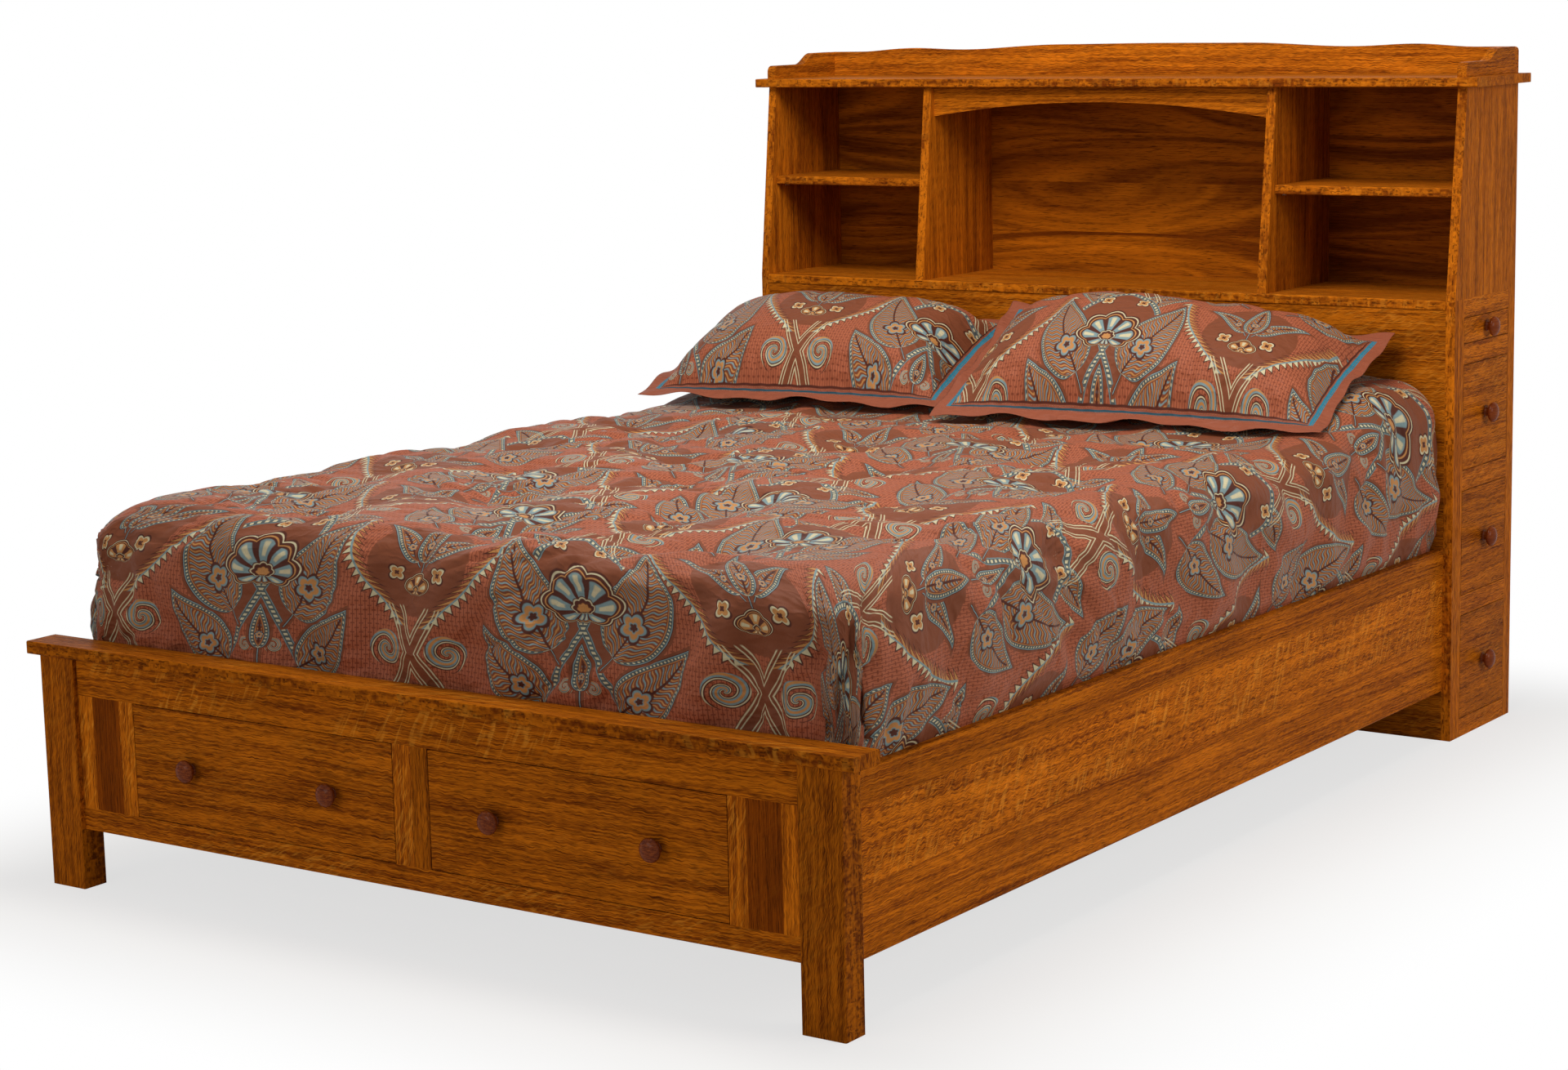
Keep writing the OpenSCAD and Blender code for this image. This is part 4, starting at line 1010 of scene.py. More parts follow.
@dataclass
class Bookcase(Joiner):
    """The shelves over the case, with their arched valance."""

    fleck_size: Pair = (0.003, 0.03)

    def build(self) -> None:
        """Dress the bookcase."""
        for name, seed in (("bookcase_side_left", 3.0), ("bookcase_side_right", 7.0)):
            side = Oak(f"{name}_oak", Axis.Z, Axis.X, 0.98, 0.2, (0.004, 0.04), 16.0, 0.35, plain=0.25, seed=seed)
            self.dress((side, name))
        for name, seed in (("divider_left", 5.2), ("divider_right", 9.1)):
            self.dress((Oak(f"{name}_oak", Axis.Z, Axis.X, 0.97, 0.15, ripple=0.35, plain=0.2, seed=seed), name))
        self.dress(
            (Oak("deck_oak", Axis.X, Axis.Z, 0.92, 0.5, self.fleck_size, 20.0, 0.5, seed=1.7), "deck"),
            (
                Oak("bookcase_back_oak", Axis.X, Axis.Y, 0.82, 0.0, ripple=0.25, plain=0.7, pitch=0.21, seed=6.6),
                "bookcase_back",
            ),
            (Oak("valance_oak", Axis.X, Axis.Y, 0.9, 0.1, ripple=0.4, seed=2.1), "valance"),
            (
                Oak("shelf_oak", Axis.X, Axis.Z, 0.95, 0.3, self.fleck_size, 20.0, 0.4, seed=4.4),
                "shelf_left",
                "shelf_right",
            ),
        )


@dataclass
class Gallery(Joiner):
    """The top board and the scrolled gallery on it."""

    fleck_size: Pair = (0.003, 0.03)

    def build(self) -> None:
        """Dress the top board and gallery."""
        self.dress(
            (Oak("top_board_oak", Axis.X, Axis.Z, 0.92, 0.4, self.fleck_size, 20.0, 0.4, seed=8.2), "top_board"),
            # Painted highlight: the gallery back's tone of 1.08 lightens it to stand in for the varnish's sheen on that
            # face.
            (
                Oak("gallery_back_oak", Axis.X, Axis.Y, 1.08, 0.25, self.fleck_size, 16.0, 0.5, seed=3.6),
                "gallery_back",
            ),
            (
                Oak("gallery_return_oak", Axis.Y, Axis.X, 0.95, 0.2, ripple=0.4, seed=5.9),
                "gallery_return_left",
                "gallery_return_right",
            ),
        )


# Bedding

CLOTH_MAP = "cloth"


def mesh_object(name: str, points: np.ndarray, faces: list, material: bpy.types.Material) -> bpy.types.Object:
    """Make a mesh object at the origin.

    Args:
        name: The piece's name.
        points: Its vertices.
        faces: Its faces as lists of vertex numbers.
        material: Its finish.

    Returns:
        The object, shaded smooth.
    """
    mesh = bpy.data.meshes.new(name)
    mesh.from_pydata([tuple(map(float, p)) for p in points], [], [tuple(map(int, f)) for f in faces])
    mesh.materials.append(material)
    mesh.update()
    mesh.polygons.foreach_set("use_smooth", [True] * len(mesh.polygons))
    made = bpy.data.objects.new(name, mesh)
    bpy.context.scene.collection.objects.link(made)
    return made


def bands(rows: int, count: int) -> list[tuple[int, ...]]:
    """Join closed rings of points with faces.

    Args:
        rows: How many rings there are, from the lowest up.
        count: How many points each has.

    Returns:
        The faces.
    """
    faces = []
    for low in range(0, (rows - 1) * count, count):
        for i in range(count):
            j = (i + 1) % count
            faces.append((low + i, low + j, low + count + j, low + count + i))
    return faces


def give_cloth_map(piece: bpy.types.Object, places: np.ndarray) -> None:
    """Lay each vertex's place on the cloth, in metres, into the UV map.

    Args:
        piece: The object.
        places: One (u, v) for each vertex.
    """
    layer = piece.data.uv_layers.new(name=CLOTH_MAP)
    layer.data.foreach_set("uv", places[read_corners(piece)].astype(np.float32).ravel())


def eased(value: np.ndarray, start: float, end: float) -> np.ndarray:
    """Go smoothly from 0 at start to 1 at end."""
    k = np.clip((value - start) / (end - start), 0.0, 1.0)
    return k * k * (3 - 2 * k)


def crumple(points: np.ndarray, scale: Triple, seed: float) -> np.ndarray:
    """Read smooth noise from -1 to 1 at some points.

    Args:
        points: The points.
        scale: Noise cells in each metre, by axis.
        seed: Moves the noise.

    Returns:
        One value for each point.
    """
    shifted = points * np.array(scale) + seed
    return np.array([noise.noise(Vector(p)) for p in shifted])


def ridges(points: np.ndarray, scale: Pair, seed: float, crest: float) -> np.ndarray:
    """Read sharp-crested wrinkles as crumple reads noise, from the crest's height down."""
    return crest - np.abs(crumple(points, (*scale, 1.0), seed))


def grooves(points: np.ndarray, scale: Pair, seed: float) -> np.ndarray:
    """Read narrow creases as crumple reads noise: 1 along each of them and 0 away from it."""
    width = 0.11
    return np.exp(-((crumple(points, (*scale, 1.0), seed) / width) ** 2))


def on_plane(places: np.ndarray) -> np.ndarray:
    """Give places on the cloth a height of 0."""
    return np.column_stack([places, np.zeros(len(places))])


def read_corners(piece: bpy.types.Object) -> np.ndarray:
    """Read the vertex of each corner of a mesh's faces."""
    corners = np.zeros(len(piece.data.loops), np.int32)
    piece.data.loops.foreach_get("vertex_index", corners)
    return corners


def read_normals(piece: bpy.types.Object) -> np.ndarray:
    """Read the outward directions of a mesh's vertices."""
    return np.array([list(v.normal) for v in piece.data.vertices])


def read_points(piece: bpy.types.Object) -> np.ndarray:
    """Read a mesh's vertices."""
    points = np.zeros(len(piece.data.vertices) * 3, np.float32)
    piece.data.vertices.foreach_get("co", points)
    return points.reshape(-1, 3).astype(float)


def write_points(piece: bpy.types.Object, points: np.ndarray) -> None:
    """Write a mesh's vertices."""
    piece.data.vertices.foreach_set("co", points.astype(np.float32).ravel())
    piece.data.update()


def apply_all(piece: bpy.types.Object) -> None:
    """Turn a piece with its modifiers into a plain mesh."""
    graph = bpy.context.evaluated_depsgraph_get()
    graph.update()
    mesh = bpy.data.meshes.new_from_object(piece.evaluated_get(graph), preserve_all_data_layers=True, depsgraph=graph)
    piece.modifiers.clear()
    old = piece.data
    piece.data = mesh
    bpy.data.meshes.remove(old)


def smooth(piece: bpy.types.Object) -> None:
    """Round a piece off with one level of subdivision."""
    modifier = piece.modifiers.new("Smooth", "SUBSURF")
    modifier.levels = modifier.render_levels = 1
    apply_all(piece)


@dataclass
class Settling:
    """Lets a padded piece settle as cloth, and keeps it near its first form.

    Attributes:
        pressure: How hard the filling pushes.
        bend: The cloth's stiffness in bending.
        cap: How far a point may move.
        slack: How much longer the cloth is than the form under it.
        frames: Frames that it runs.
    """

    pressure: float
    bend: float
    cap: float
    slack: float = 0.03
    frames: int = 20

    def run(self, piece: bpy.types.Object, held: np.ndarray) -> None:
        """Run the cloth on a piece.

        Args:
            piece: The object, a closed mesh.
            held: Whether each vertex is held in place.
        """
        before = read_points(piece)
        group = piece.vertex_groups.new(name="held")
        for weight in (0.0, 1.0):
            group.add(np.nonzero(held == weight)[0].tolist(), weight, "REPLACE")
        modifier = piece.modifiers.new("Cloth", "CLOTH")
        cloth = modifier.settings
        settings = dict(
            quality=6,
            mass=0.3,
            tension_stiffness=15,
            compression_stiffness=15,
            shear_stiffness=8,
            bending_stiffness=self.bend,
            air_damping=2,
            shrink_min=-self.slack,
            shrink_max=-self.slack,
            use_pressure=self.pressure > 0,
            uniform_pressure_force=self.pressure,
            vertex_group_mass="held",
            pin_stiffness=1.0,
        )
        for key, value in settings.items():
            setattr(cloth, key, value)
        cloth.effector_weights.gravity = 0
        modifier.collision_settings.use_self_collision = False
        modifier.collision_settings.use_collision = False
        scene = bpy.context.scene
        scene.frame_start, scene.frame_end = 1, self.frames
        modifier.point_cache.frame_start, modifier.point_cache.frame_end = 1, self.frames
        for step in range(1, self.frames + 1):
            scene.frame_set(step)
        apply_all(piece)
        scene.frame_set(1)
        piece.vertex_groups.clear()
        after = read_points(piece)
        moved = after - before
        far = np.linalg.norm(moved, axis=1, keepdims=True)
        keep = self.cap * np.tanh(far / self.cap) / np.maximum(far, 1e-9)
        write_points(piece, before + moved * keep)
        log.info("%s settled, at most %.1f mm", piece.name, float(far.max() * 1000))


@dataclass
class Thread:
    """Rows of stitches laid along lines on a cloth by geometry nodes.

    Attributes:
        pitch: The distance from stitch to stitch.
        length: A stitch's length.
        radius: The thread's radius.
        colour: The thread's colour.
    """

    pitch: float = 0.0055
    length: float = 0.004
    radius: float = 0.00055
    colour: str = "#8A5A3C"

    def tree(self, material: bpy.types.Material) -> bpy.types.NodeTree:
        """Build the tree that turns lines into stitches.

        Args:
            material: The thread's finish.

        Returns:
            The node group, with an input for each size.
        """
        tree = bpy.data.node_groups.new("stitches", "GeometryNodeTree")
        tree.interface.new_socket("Lines", in_out="INPUT", socket_type="NodeSocketGeometry")
        for name in ("Pitch", "Length", "Radius"):
            tree.interface.new_socket(name, in_out="INPUT", socket_type="NodeSocketFloat")
        tree.interface.new_socket("Stitches", in_out="OUTPUT", socket_type="NodeSocketGeometry")

        def add(kind: str, values: dict, settings: Optional[dict] = None, out: int = 0) -> bpy.types.NodeSocket:
            """Add a node to this tree."""
            return add_node(tree, kind, settings or {}, values, out)

        lines = add("NodeGroupInput", {})
        pitch, length, radius = (lines.node.outputs[name] for name in ("Pitch", "Length", "Radius"))
        curve = add("GeometryNodeMeshToCurve", {"Mesh": lines})
        places = add("GeometryNodeResampleCurve", {"Curve": curve, "Length": pitch}, {"mode": "LENGTH"})
        ball = add("GeometryNodeMeshUVSphere", {"Segments": 6, "Rings": 4, "Radius": 1.0})
        half = add("ShaderNodeMath", {0: length, 1: 0.5}, {"operation": "MULTIPLY"})
        size = add("ShaderNodeCombineXYZ", {0: half, 1: radius, 2: radius})
        stitch = add("GeometryNodeTransform", {"Geometry": ball, "Scale": size})
        way = add("GeometryNodeInputTangent", {})
        turn = add("FunctionNodeAlignRotationToVector", {"Vector": way}, {"axis": "X"})
        vary = add("FunctionNodeRandomValue", {2: 0.86, 3: 1.08, "Seed": 5}, {"data_type": "FLOAT"}, 1)
        inputs = {"Points": places, "Instance": stitch, "Rotation": turn, "Scale": vary}
        laid = add("GeometryNodeInstanceOnPoints", inputs)
        real = add("GeometryNodeRealizeInstances", {"Geometry": laid})
        dressed = add("GeometryNodeSetMaterial", {"Geometry": real, "Material": material})
        end = tree.nodes.new("NodeGroupOutput")
        tree.links.new(dressed, end.inputs[0])
        return tree

    def sew(self, name: str, cloth: bpy.types.Object, paths: list[np.ndarray]) -> None:
        """Lay lines on a cloth and sew along them.

        Args:
            name: The piece's name.
            cloth: The cloth that they lie on.
            paths: The lines, near the cloth.
        """
        surface = BVHTree.FromObject(cloth, bpy.context.evaluated_depsgraph_get())
        sunk = self.radius * 0.3
        points, edges = [], []
        for path in paths:
            for k, place in enumerate(path):
                near, normal, _, _ = surface.find_nearest(Vector(place))
                if k:
                    edges.append((len(points) - 1, len(points)))
                points.append(near + normal * sunk)
        finish = Plain(f"{name}_thread", self.colour).build()
        mesh = bpy.data.meshes.new(name)
        mesh.from_pydata(points, edges, [])
        mesh.materials.append(finish)
        made = bpy.data.objects.new(name, mesh)
        bpy.context.scene.collection.objects.link(made)
        modifier = made.modifiers.new("Stitches", "NODES")
        modifier.node_group = self.tree(finish)
        sizes = {"Pitch": self.pitch, "Length": self.length, "Radius": self.radius}
        for socket in modifier.node_group.interface.items_tree:
            if socket.in_out == "INPUT" and socket.name in sizes:
                modifier[socket.identifier] = sizes[socket.name]
        apply_all(made)
        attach(made, "bed")
        log.info("%s: %d stitch faces", name, len(made.data.polygons))


@dataclass(frozen=True)
class Mattress:
    """The mattress: a block of ticking with eased edges, whose border is pressed in by the bedding.

    Attributes:
        low: The corner of its box at the foot.
        high: The opposite corner of its box.
        pressed: How far the border is drawn in.
        corner: The radius of its corners.
        turn_steps: Steps round a corner.
        lower_edge: Insets and heights of the rows round its lower edge.
        upper_edge: How far the rows round its upper edge are drawn in from the border and lie below the top.
    """

    low: Triple = (-0.755, -1.105, 0.355)
    high: Triple = (0.755, 0.910, 0.595)
    pressed: float = 0.02
    corner: float = 0.09
    turn_steps: int = 8
    lower_edge: tuple[Pair, ...] = ((0.012, 0.0), (0.0035, 0.003), (0.001, 0.011), (0.0035, 0.018))
    upper_edge: tuple[Pair, ...] = ((0.0, 0.011), (0.003, 0.003), (0.012, 0.0))

    def plan(self, inset: float) -> np.ndarray:
        """Return points round the mattress, drawn in by an inset."""
        points = []
        radius = self.corner - inset
        for cx, cy, start in ((1, 1, 0), (-1, 1, 90), (-1, -1, 180), (1, -1, 270)):
            mx = (self.high[0] if cx > 0 else self.low[0]) - cx * self.corner
            my = (self.high[1] if cy > 0 else self.low[1]) - cy * self.corner
            for k in range(self.turn_steps + 1):
                a = math.radians(start + 90 * k / self.turn_steps)
                points.append((mx + radius * math.cos(a), my + radius * math.sin(a)))
        return np.array(points)

    def build(self) -> None:
        """Build the mattress."""
        z0, z1 = self.low[2], self.high[2]
        rows = [(inset, z0 + up) for inset, up in self.lower_edge]
        rows += [(self.pressed, z0 + 0.03 + k * (z1 - z0 - 0.06)) for k in (0.0, 0.25, 0.5, 0.75, 1.0)]
        rows += [(self.pressed + inset, z1 - down) for inset, down in self.upper_edge]
        rings = [np.insert(self.plan(inset), 2, z, axis=1) for inset, z in rows]
        count = len(rings[0])
        points = np.vstack(rings)
        faces = bands(len(rings), count)
        faces.append(tuple(range(count - 1, -1, -1)))
        faces.append(tuple(range(len(points) - count, len(points))))
        made = mesh_object("mattress_block", points, faces, Ticking().build())
        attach(made, "bed")
        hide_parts("mattress")
        log.info("mattress: %d faces", len(made.data.polygons))


@dataclass(frozen=True)
class Comforter:
    """The comforter over the mattress, tucked in at the foot and sides.

    Attributes:
        half: Half its width where it is tucked in.
        foot: Its front face.
        head: Its end at the headboard.
        hem: Height of the tucked hem.
        top: Height of its flat top.
        lift: How far it rises over the pillows.
        lift_from: Where the rise begins.
        lift_to: Where it is done.
        bulge: How far the sides swell out over the rails.
        turn: Width of the rounded shoulder.
        steps: Points along a side, along an end and round a corner.
        wall_rows: Rows of faces up the drop.
        turn_rows: Rows round the shoulder.
        quilt: The tufts' pitch across and along.
        quilt_from: Where the first row of tufts stands.
        dip: Depth of the broad dips round the tufts.
        dimple: Depth and radius of the dimple that a tuft pulls into the cloth.
        hollow: Depth and radius of the wider hollow round it.
        top_relief: How high the puffs, the long wrinkles and the small ones of the top stand.
        drop_relief: How high the puffs, the upright wrinkles and the small ones of the drop stand.
        creases: Depth of the fine creases, of those that run out from the tufts and of the drawn ones.
        pleat: Width and depth of the pleats at the foot corners.
        fold: Width and depth of the soft folds beside the pillows.
        tack: Half the length of a tuft's stitch.
    """

    half: float = 0.7685
    foot: float = -1.117
    head: float = 0.915
    hem: float = 0.359
    top: float = 0.640
    lift: float = 0.074
    lift_from: float = 0.448
    lift_to: float = 0.788
    bulge: float = 0.016
    turn: float = 0.09
    steps: tuple[int, int, int] = (112, 86, 10)
    wall_rows: int = 17
    turn_rows: int = 9
    quilt: Pair = (0.3923, 0.5036)
    quilt_from: float = -0.937
    dip: float = 0.012
    dimple: Pair = (0.012, 0.024)
    hollow: Pair = (0.006, 0.05)
    top_relief: Triple = (0.004, 0.011, 0.008)
    drop_relief: Triple = (0.006, 0.026, 0.014)
    creases: Triple = (0.004, 0.005, 0.0075)
    pleat: Pair = (0.055, 0.026)
    fold: Pair = (0.075, 0.012)
    tack: float = 0.006

    def rise(self, y: np.ndarray) -> np.ndarray:
        """Return how far the top is lifted at a place along the bed."""
        k = np.clip((y - self.lift_from) / (self.lift_to - self.lift_from), 0, 1)
        return self.lift * (1 - np.cos(np.pi * k)) / 2

    @staticmethod
    def waves(along: np.ndarray) -> np.ndarray:
        """Return how far the drop swells in and out at places along it."""
        long, short = (2 * np.pi * along / length for length in (0.46, 0.205))
        return 0.006 * (np.sin(long) + 0.6 * np.sin(short + 0.87)) / 1.6

    def loop(self, inset: float, foot_r: float, head_r: float) -> tuple[np.ndarray, np.ndarray]:
        """Return points round a rounded rectangle, and the way out at each of them.

        Args:
            inset: How far it is drawn in.
            foot_r: The corner radius at the foot.
            head_r: The corner radius at the head.

        Returns:
            The points and the outward directions.
        """
        side, end, bend = self.steps
        hx, ya = self.half - inset, self.foot + inset
        yb = self.head - max(0.0, inset - 0.062) / 8
        points, out = [], []

        def run(a: Pair, b: Pair, count: int, way: Pair) -> None:
            """Add a straight run."""
            for k in range(count + 1):
                t = k / count
                points.append((a[0] + (b[0] - a[0]) * t, a[1] + (b[1] - a[1]) * t))
                out.append(way)

        def corner(x: float, y: float, r: float, start: float) -> None:
            """Add the inner points of a corner."""
            for k in range(1, bend):
                a = math.radians(start + 90 * k / bend)
                points.append((x + r * math.cos(a), y + r * math.sin(a)))
                out.append((math.cos(a), math.sin(a)))

        run((hx, ya + foot_r), (hx, yb - head_r), side, (1, 0))
        corner(hx - head_r, yb - head_r, head_r, 0)
        run((hx - head_r, yb), (head_r - hx, yb), end, (0, 1))
        corner(head_r - hx, yb - head_r, head_r, 90)
        run((-hx, yb - head_r), (-hx, ya + foot_r), side, (-1, 0))
        corner(foot_r - hx, ya + foot_r, foot_r, 180)
        run((foot_r - hx, ya), (hx - foot_r, ya), end, (0, -1))
        corner(hx - foot_r, ya + foot_r, foot_r, 270)
        return np.array(points), np.array(out, float)

    def section(self) -> list[Pair]:
        """Return the section from hem to top as (share of the height, inset)."""
        shoulder = 0.8
        rows = [(shoulder * k / self.wall_rows, 0.0) for k in range(self.wall_rows)]
        for k in range(self.turn_rows + 1):
            a = math.pi / 2 * k / self.turn_rows
            rows.append((shoulder + 0.2 * math.sin(a), self.turn * (1 - math.cos(a))))
        return rows

    def shell(self) -> tuple[np.ndarray, list, np.ndarray, np.ndarray]:
        """Build the outer surface.

        Returns:
            The points, the faces, each point's place on the cloth and its share of the height.
        """
        shares = (0.0, 0.13, 0.26, 0.43, 0.64, 0.80, 0.91, 0.97, 1.0)
        foot_radii = (0.040, 0.040, 0.042, 0.045, 0.050, 0.060, 0.070, 0.080, 0.090)
        head_radii = (0.020, 0.020, 0.022, 0.025, 0.028, 0.032, 0.045, 0.055, 0.060)
        swells = ((0.0, 0.068, 0.13, 0.26, 0.43, 0.64, 0.80, 0.91, 0.97), (0, 0, 0.6, 1, 1, 0.8, 0.4, 0.1, 0))
        rows, places, heights = [], [], []
        height = self.top - self.hem
        edge, edge_out = self.loop(self.turn, foot_radii[-1], head_radii[-1])
        run = 0.0
        last = None
        for share, inset in reversed(self.section()):
            if last is not None:
                run += math.hypot((last[0] - share) * height, inset - last[1])
            last = (share, inset)
            loop, out = self.loop(inset, np.interp(share, shares, foot_radii), np.interp(share, shares, head_radii))
            x, y = loop[:, 0].copy(), loop[:, 1].copy()
            hx = self.half - inset
            swell = np.interp(share, *swells)
            side = eased(np.abs(x), hx - 0.06, hx)
            front = eased(-y, -(self.foot + inset + 0.06), -(self.foot + inset))
            waves, across = self.waves(y), self.waves(x)
            x += np.sign(x) * swell * side * (self.bulge + waves)
            y -= swell * front * (0.004 + across / 3)
            z = self.hem + share * height + self.rise(loop[:, 1]) * np.clip((share - 0.6) / 0.4, 0, 1)
            rows.append(np.column_stack([x, y, z]))
            places.append(edge + edge_out * run)
            heights.append(np.full(len(x), share))
        rows.reverse(), places.reverse(), heights.reverse()
        points, place, share = np.vstack(rows), np.vstack(places), np.concatenate(heights)
        count = len(rows[0])
        return self.lid(points, bands(len(rows), count), place, share, len(points) - count, count)

    def lid(
        self, points: np.ndarray, faces: list, place: np.ndarray, share: np.ndarray, start: int, count: int
    ) -> tuple[np.ndarray, list, np.ndarray, np.ndarray]:
        """Close the top with a grid whose corners lie in the middle of the loop's corners.

        Args:
            points: The points so far.
            faces: The faces so far.
            place: Their places on the cloth.
            share: Their shares of the height.
            start: The number of the top loop's first point.
            count: How many points the loop has.

        Returns:
            The same four with the top added.
        """
        side, end, bend = self.steps
        long, wide = side + bend, end + bend
        ring = [start + (i - bend // 2) % count for i in range(count)]
        right = ring[: long + 1]
        head = ring[long : long + wide + 1][::-1]
        left = ring[long + wide : 2 * long + wide + 1][::-1]
        foot = [*ring[2 * long + wide :], ring[0]]
        grid = np.zeros((wide + 1, long + 1), int)
        grid[wide, :], grid[0, :], grid[:, long], grid[:, 0] = right, left, head, foot
        flat = points[:, :2]
        number = len(points)
        extra = []
        for i in range(1, wide):
            u = i / wide
            for j in range(1, long):
                v = j / long
                p = (
                    (1 - u) * flat[left[j]]
                    + u * flat[right[j]]
                    + (1 - v) * flat[foot[i]]
                    + v * flat[head[i]]
                    - (1 - u) * (1 - v) * flat[foot[0]]
                    - u * (1 - v) * flat[foot[-1]]
                    - (1 - u) * v * flat[head[0]]
                    - u * v * flat[head[-1]]
                )
                extra.append(p)
                grid[i, j] = number
                number += 1
        top = np.array(extra)
        for i in range(wide):
            for j in range(long):
                faces.append((grid[i, j], grid[i + 1, j], grid[i + 1, j + 1], grid[i, j + 1]))
        points = np.vstack([points, np.column_stack([top, self.top + self.rise(top[:, 1])])])
        place = np.vstack([place, top])
        share = np.concatenate([share, np.ones(len(top))])
        return points, faces, place, share

    def lattice(self, place: np.ndarray, sharp: Callable[[np.ndarray, np.ndarray], np.ndarray]) -> np.ndarray:
        """Read a figure that repeats at the tufts, which stand in staggered rows.

        Args:
            place: Places on the cloth.
            sharp: Gives the figure from the steps across and along.

        Returns:
            The larger of the figures of both sets of rows.
        """
        u = place[:, 0] / self.quilt[0]
        v = (place[:, 1] - self.quilt_from) / self.quilt[1]
        return np.maximum(sharp(u, v), sharp(u + 0.5, v + 0.5))

    def dips(self, points: np.ndarray) -> np.ndarray:
        """Return the depth of the broad dips of the top, which the frame's comforter has too."""
        depth = self.lattice(points, lambda u, v: (np.cos(np.pi * u) * np.cos(np.pi * v)) ** 4)
        inset = np.minimum(self.half - np.abs(points[:, 0]), points[:, 1] - self.foot)
        fade = np.clip((inset - self.turn) / 0.098, 0, 1) * eased(-points[:, 1], -0.2, -0.14)
        return self.dip * depth * fade

    def tuft_off(self, place: np.ndarray) -> tuple[np.ndarray, np.ndarray]:
        """Return how far each place on the cloth is from the nearest tuft, across and along."""
        wide, long = self.quilt
        u, v = place[:, 0] / wide, (place[:, 1] - self.quilt_from) / long
        rows = (u, v), (u + 0.5, v + 0.5)
        even, odd = (np.column_stack([s - np.round(s), t - np.round(t)]) * self.quilt for s, t in rows)
        near = np.where((np.hypot(*even.T) < np.hypot(*odd.T))[:, None], even, odd)
        return near[:, 0], near[:, 1]

    def relief(self, points: np.ndarray, normals: np.ndarray, place: np.ndarray, share: np.ndarray) -> np.ndarray:
        """Add the quilting, the larger wrinkles and the folds.

        Args:
            points: The surface.
            normals: Its outward directions.
            place: Places on the cloth.
            share: Shares of the height.

        Returns:
            The moved points.
        """
        cloth = on_plane(place)
        on_top = eased(share, 0.8, 1.0)
        away = np.hypot(*self.tuft_off(place))
        (dimple, near), (hollow, far) = self.dimple, self.hollow
        pucker = dimple * np.exp(-((away / near) ** 2)) + hollow * np.exp(-away / far)
        warp = cloth + np.column_stack([crumple(cloth, (3.0, 3.0, 1.0), k) * 0.09 for k in (31.0, 37.0, 41.0)])
        puff = crumple(cloth, (5.0, 6.0, 1.0), 11.0)
        cross, small = ridges(warp, (3.2, 13.0), 3.0, 0.35), ridges(warp, (8.0, 19.0), 7.0, 0.35)
        upright, creases = ridges(warp, (7.0, 3.2), 23.0, 0.3), ridges(warp, (15.0, 9.0), 29.0, 0.3)
        swell, high, low = self.top_relief
        top = puff * swell + cross * high + small * low
        swell, high, low = self.drop_relief
        drop = puff * swell + upright * high + creases * low
        pillows = eased(points[:, 1], 0.32, 0.42)
        top = np.where(top > 0, top * (1 - pillows), top)
        out = (top * on_top + drop * (1 - on_top) - pucker) * eased(share, 0.06, 0.2)
        moved = points + normals * out[:, None]
        moved[:, 2] -= self.dips(points) * eased(share, 0.98, 1.0)
        return self.folds(moved, points, normals, share)

    def pinch(self, piece: bpy.types.Object) -> None:
        """Add the small creases that run out from the tufts and over the cloth.

        Args:
            piece: The comforter, with its map of the cloth.
        """
        points, normals = read_points(piece), read_normals(piece)
        flat = np.zeros(len(piece.data.loops) * 2, np.float32)
        piece.data.uv_layers[CLOTH_MAP].data.foreach_get("uv", flat)
        place = np.zeros((len(points), 2))
        place[read_corners(piece)] = flat.reshape(-1, 2)
        across, along = self.tuft_off(place)
        away = np.hypot(across, along)
        cloth = on_plane(place)
        turn = np.arctan2(along, across) + crumple(cloth, (5.0, 5.0, 1.0), 17.0) * 1.5
        spokes = (1 - np.abs(np.sin(turn * 3.5))) ** 2 + (1 - np.abs(np.sin(turn * 5.0 + 1.0))) ** 2 * 0.6
        near = eased(away, 0.004, 0.02) * eased(-away, -0.085, -0.02)
        fine = ridges(cloth, (19.0, 37.0), 5.0, 0.25)
        lines = grooves(cloth, (4.0, 15.0), 51.0) * eased(crumple(cloth, (2.6, 3.4, 1.0), 61.0), -0.1, 0.3)
        slant = cloth @ np.array([[0.8, -0.6, 0], [0.6, 0.8, 0], [0, 0, 1.0]])
        slants = grooves(slant, (5.0, 14.0), 71.0) * eased(crumple(cloth, (3.1, 2.3, 1.0), 81.0), 0.0, 0.3)
        shown = eased(points[:, 2], self.hem + 0.02, self.hem + 0.05) * (1 - 0.6 * eased(points[:, 1], 0.32, 0.42))
        shallow, pulled, drawn = self.creases
        out = (fine * shallow - spokes * pulled * near - np.maximum(lines, slants) * drawn) * shown
        write_points(piece, self.outside(points + normals * out[:, None], points, normals))

    def outside(self, moved: np.ndarray, points: np.ndarray, normals: np.ndarray) -> np.ndarray:
        """Keep the creased cloth outside the mattress.

        Args:
            moved: The creased surface.
            points: The surface before its creases.
            normals: Its outward directions.

        Returns:
            The surface with no crease that reaches into the mattress.
        """
        near, shoulder = 0.05, 0.035
        side_in, foot_in, top_in = 0.03, 0.029, 0.042
        at_side = np.abs(points[:, 0]) > self.half - near
        at_foot = points[:, 1] < self.foot + near
        beside = moved[:, 2] < self.top - shoulder
        side = beside & at_side & (np.abs(normals[:, 0]) > 0.5)
        foot = beside & at_foot & (normals[:, 1] < -0.5)
        over = ~at_side & ~at_foot & (normals[:, 2] > 0.5)
        moved[side, 0] = np.sign(points[side, 0]) * np.maximum(np.abs(moved[side, 0]), self.half - side_in)
        moved[foot, 1] = np.minimum(moved[foot, 1], self.foot + foot_in)
        moved[over, 2] = np.maximum(moved[over, 2], self.top - top_in)
        return moved

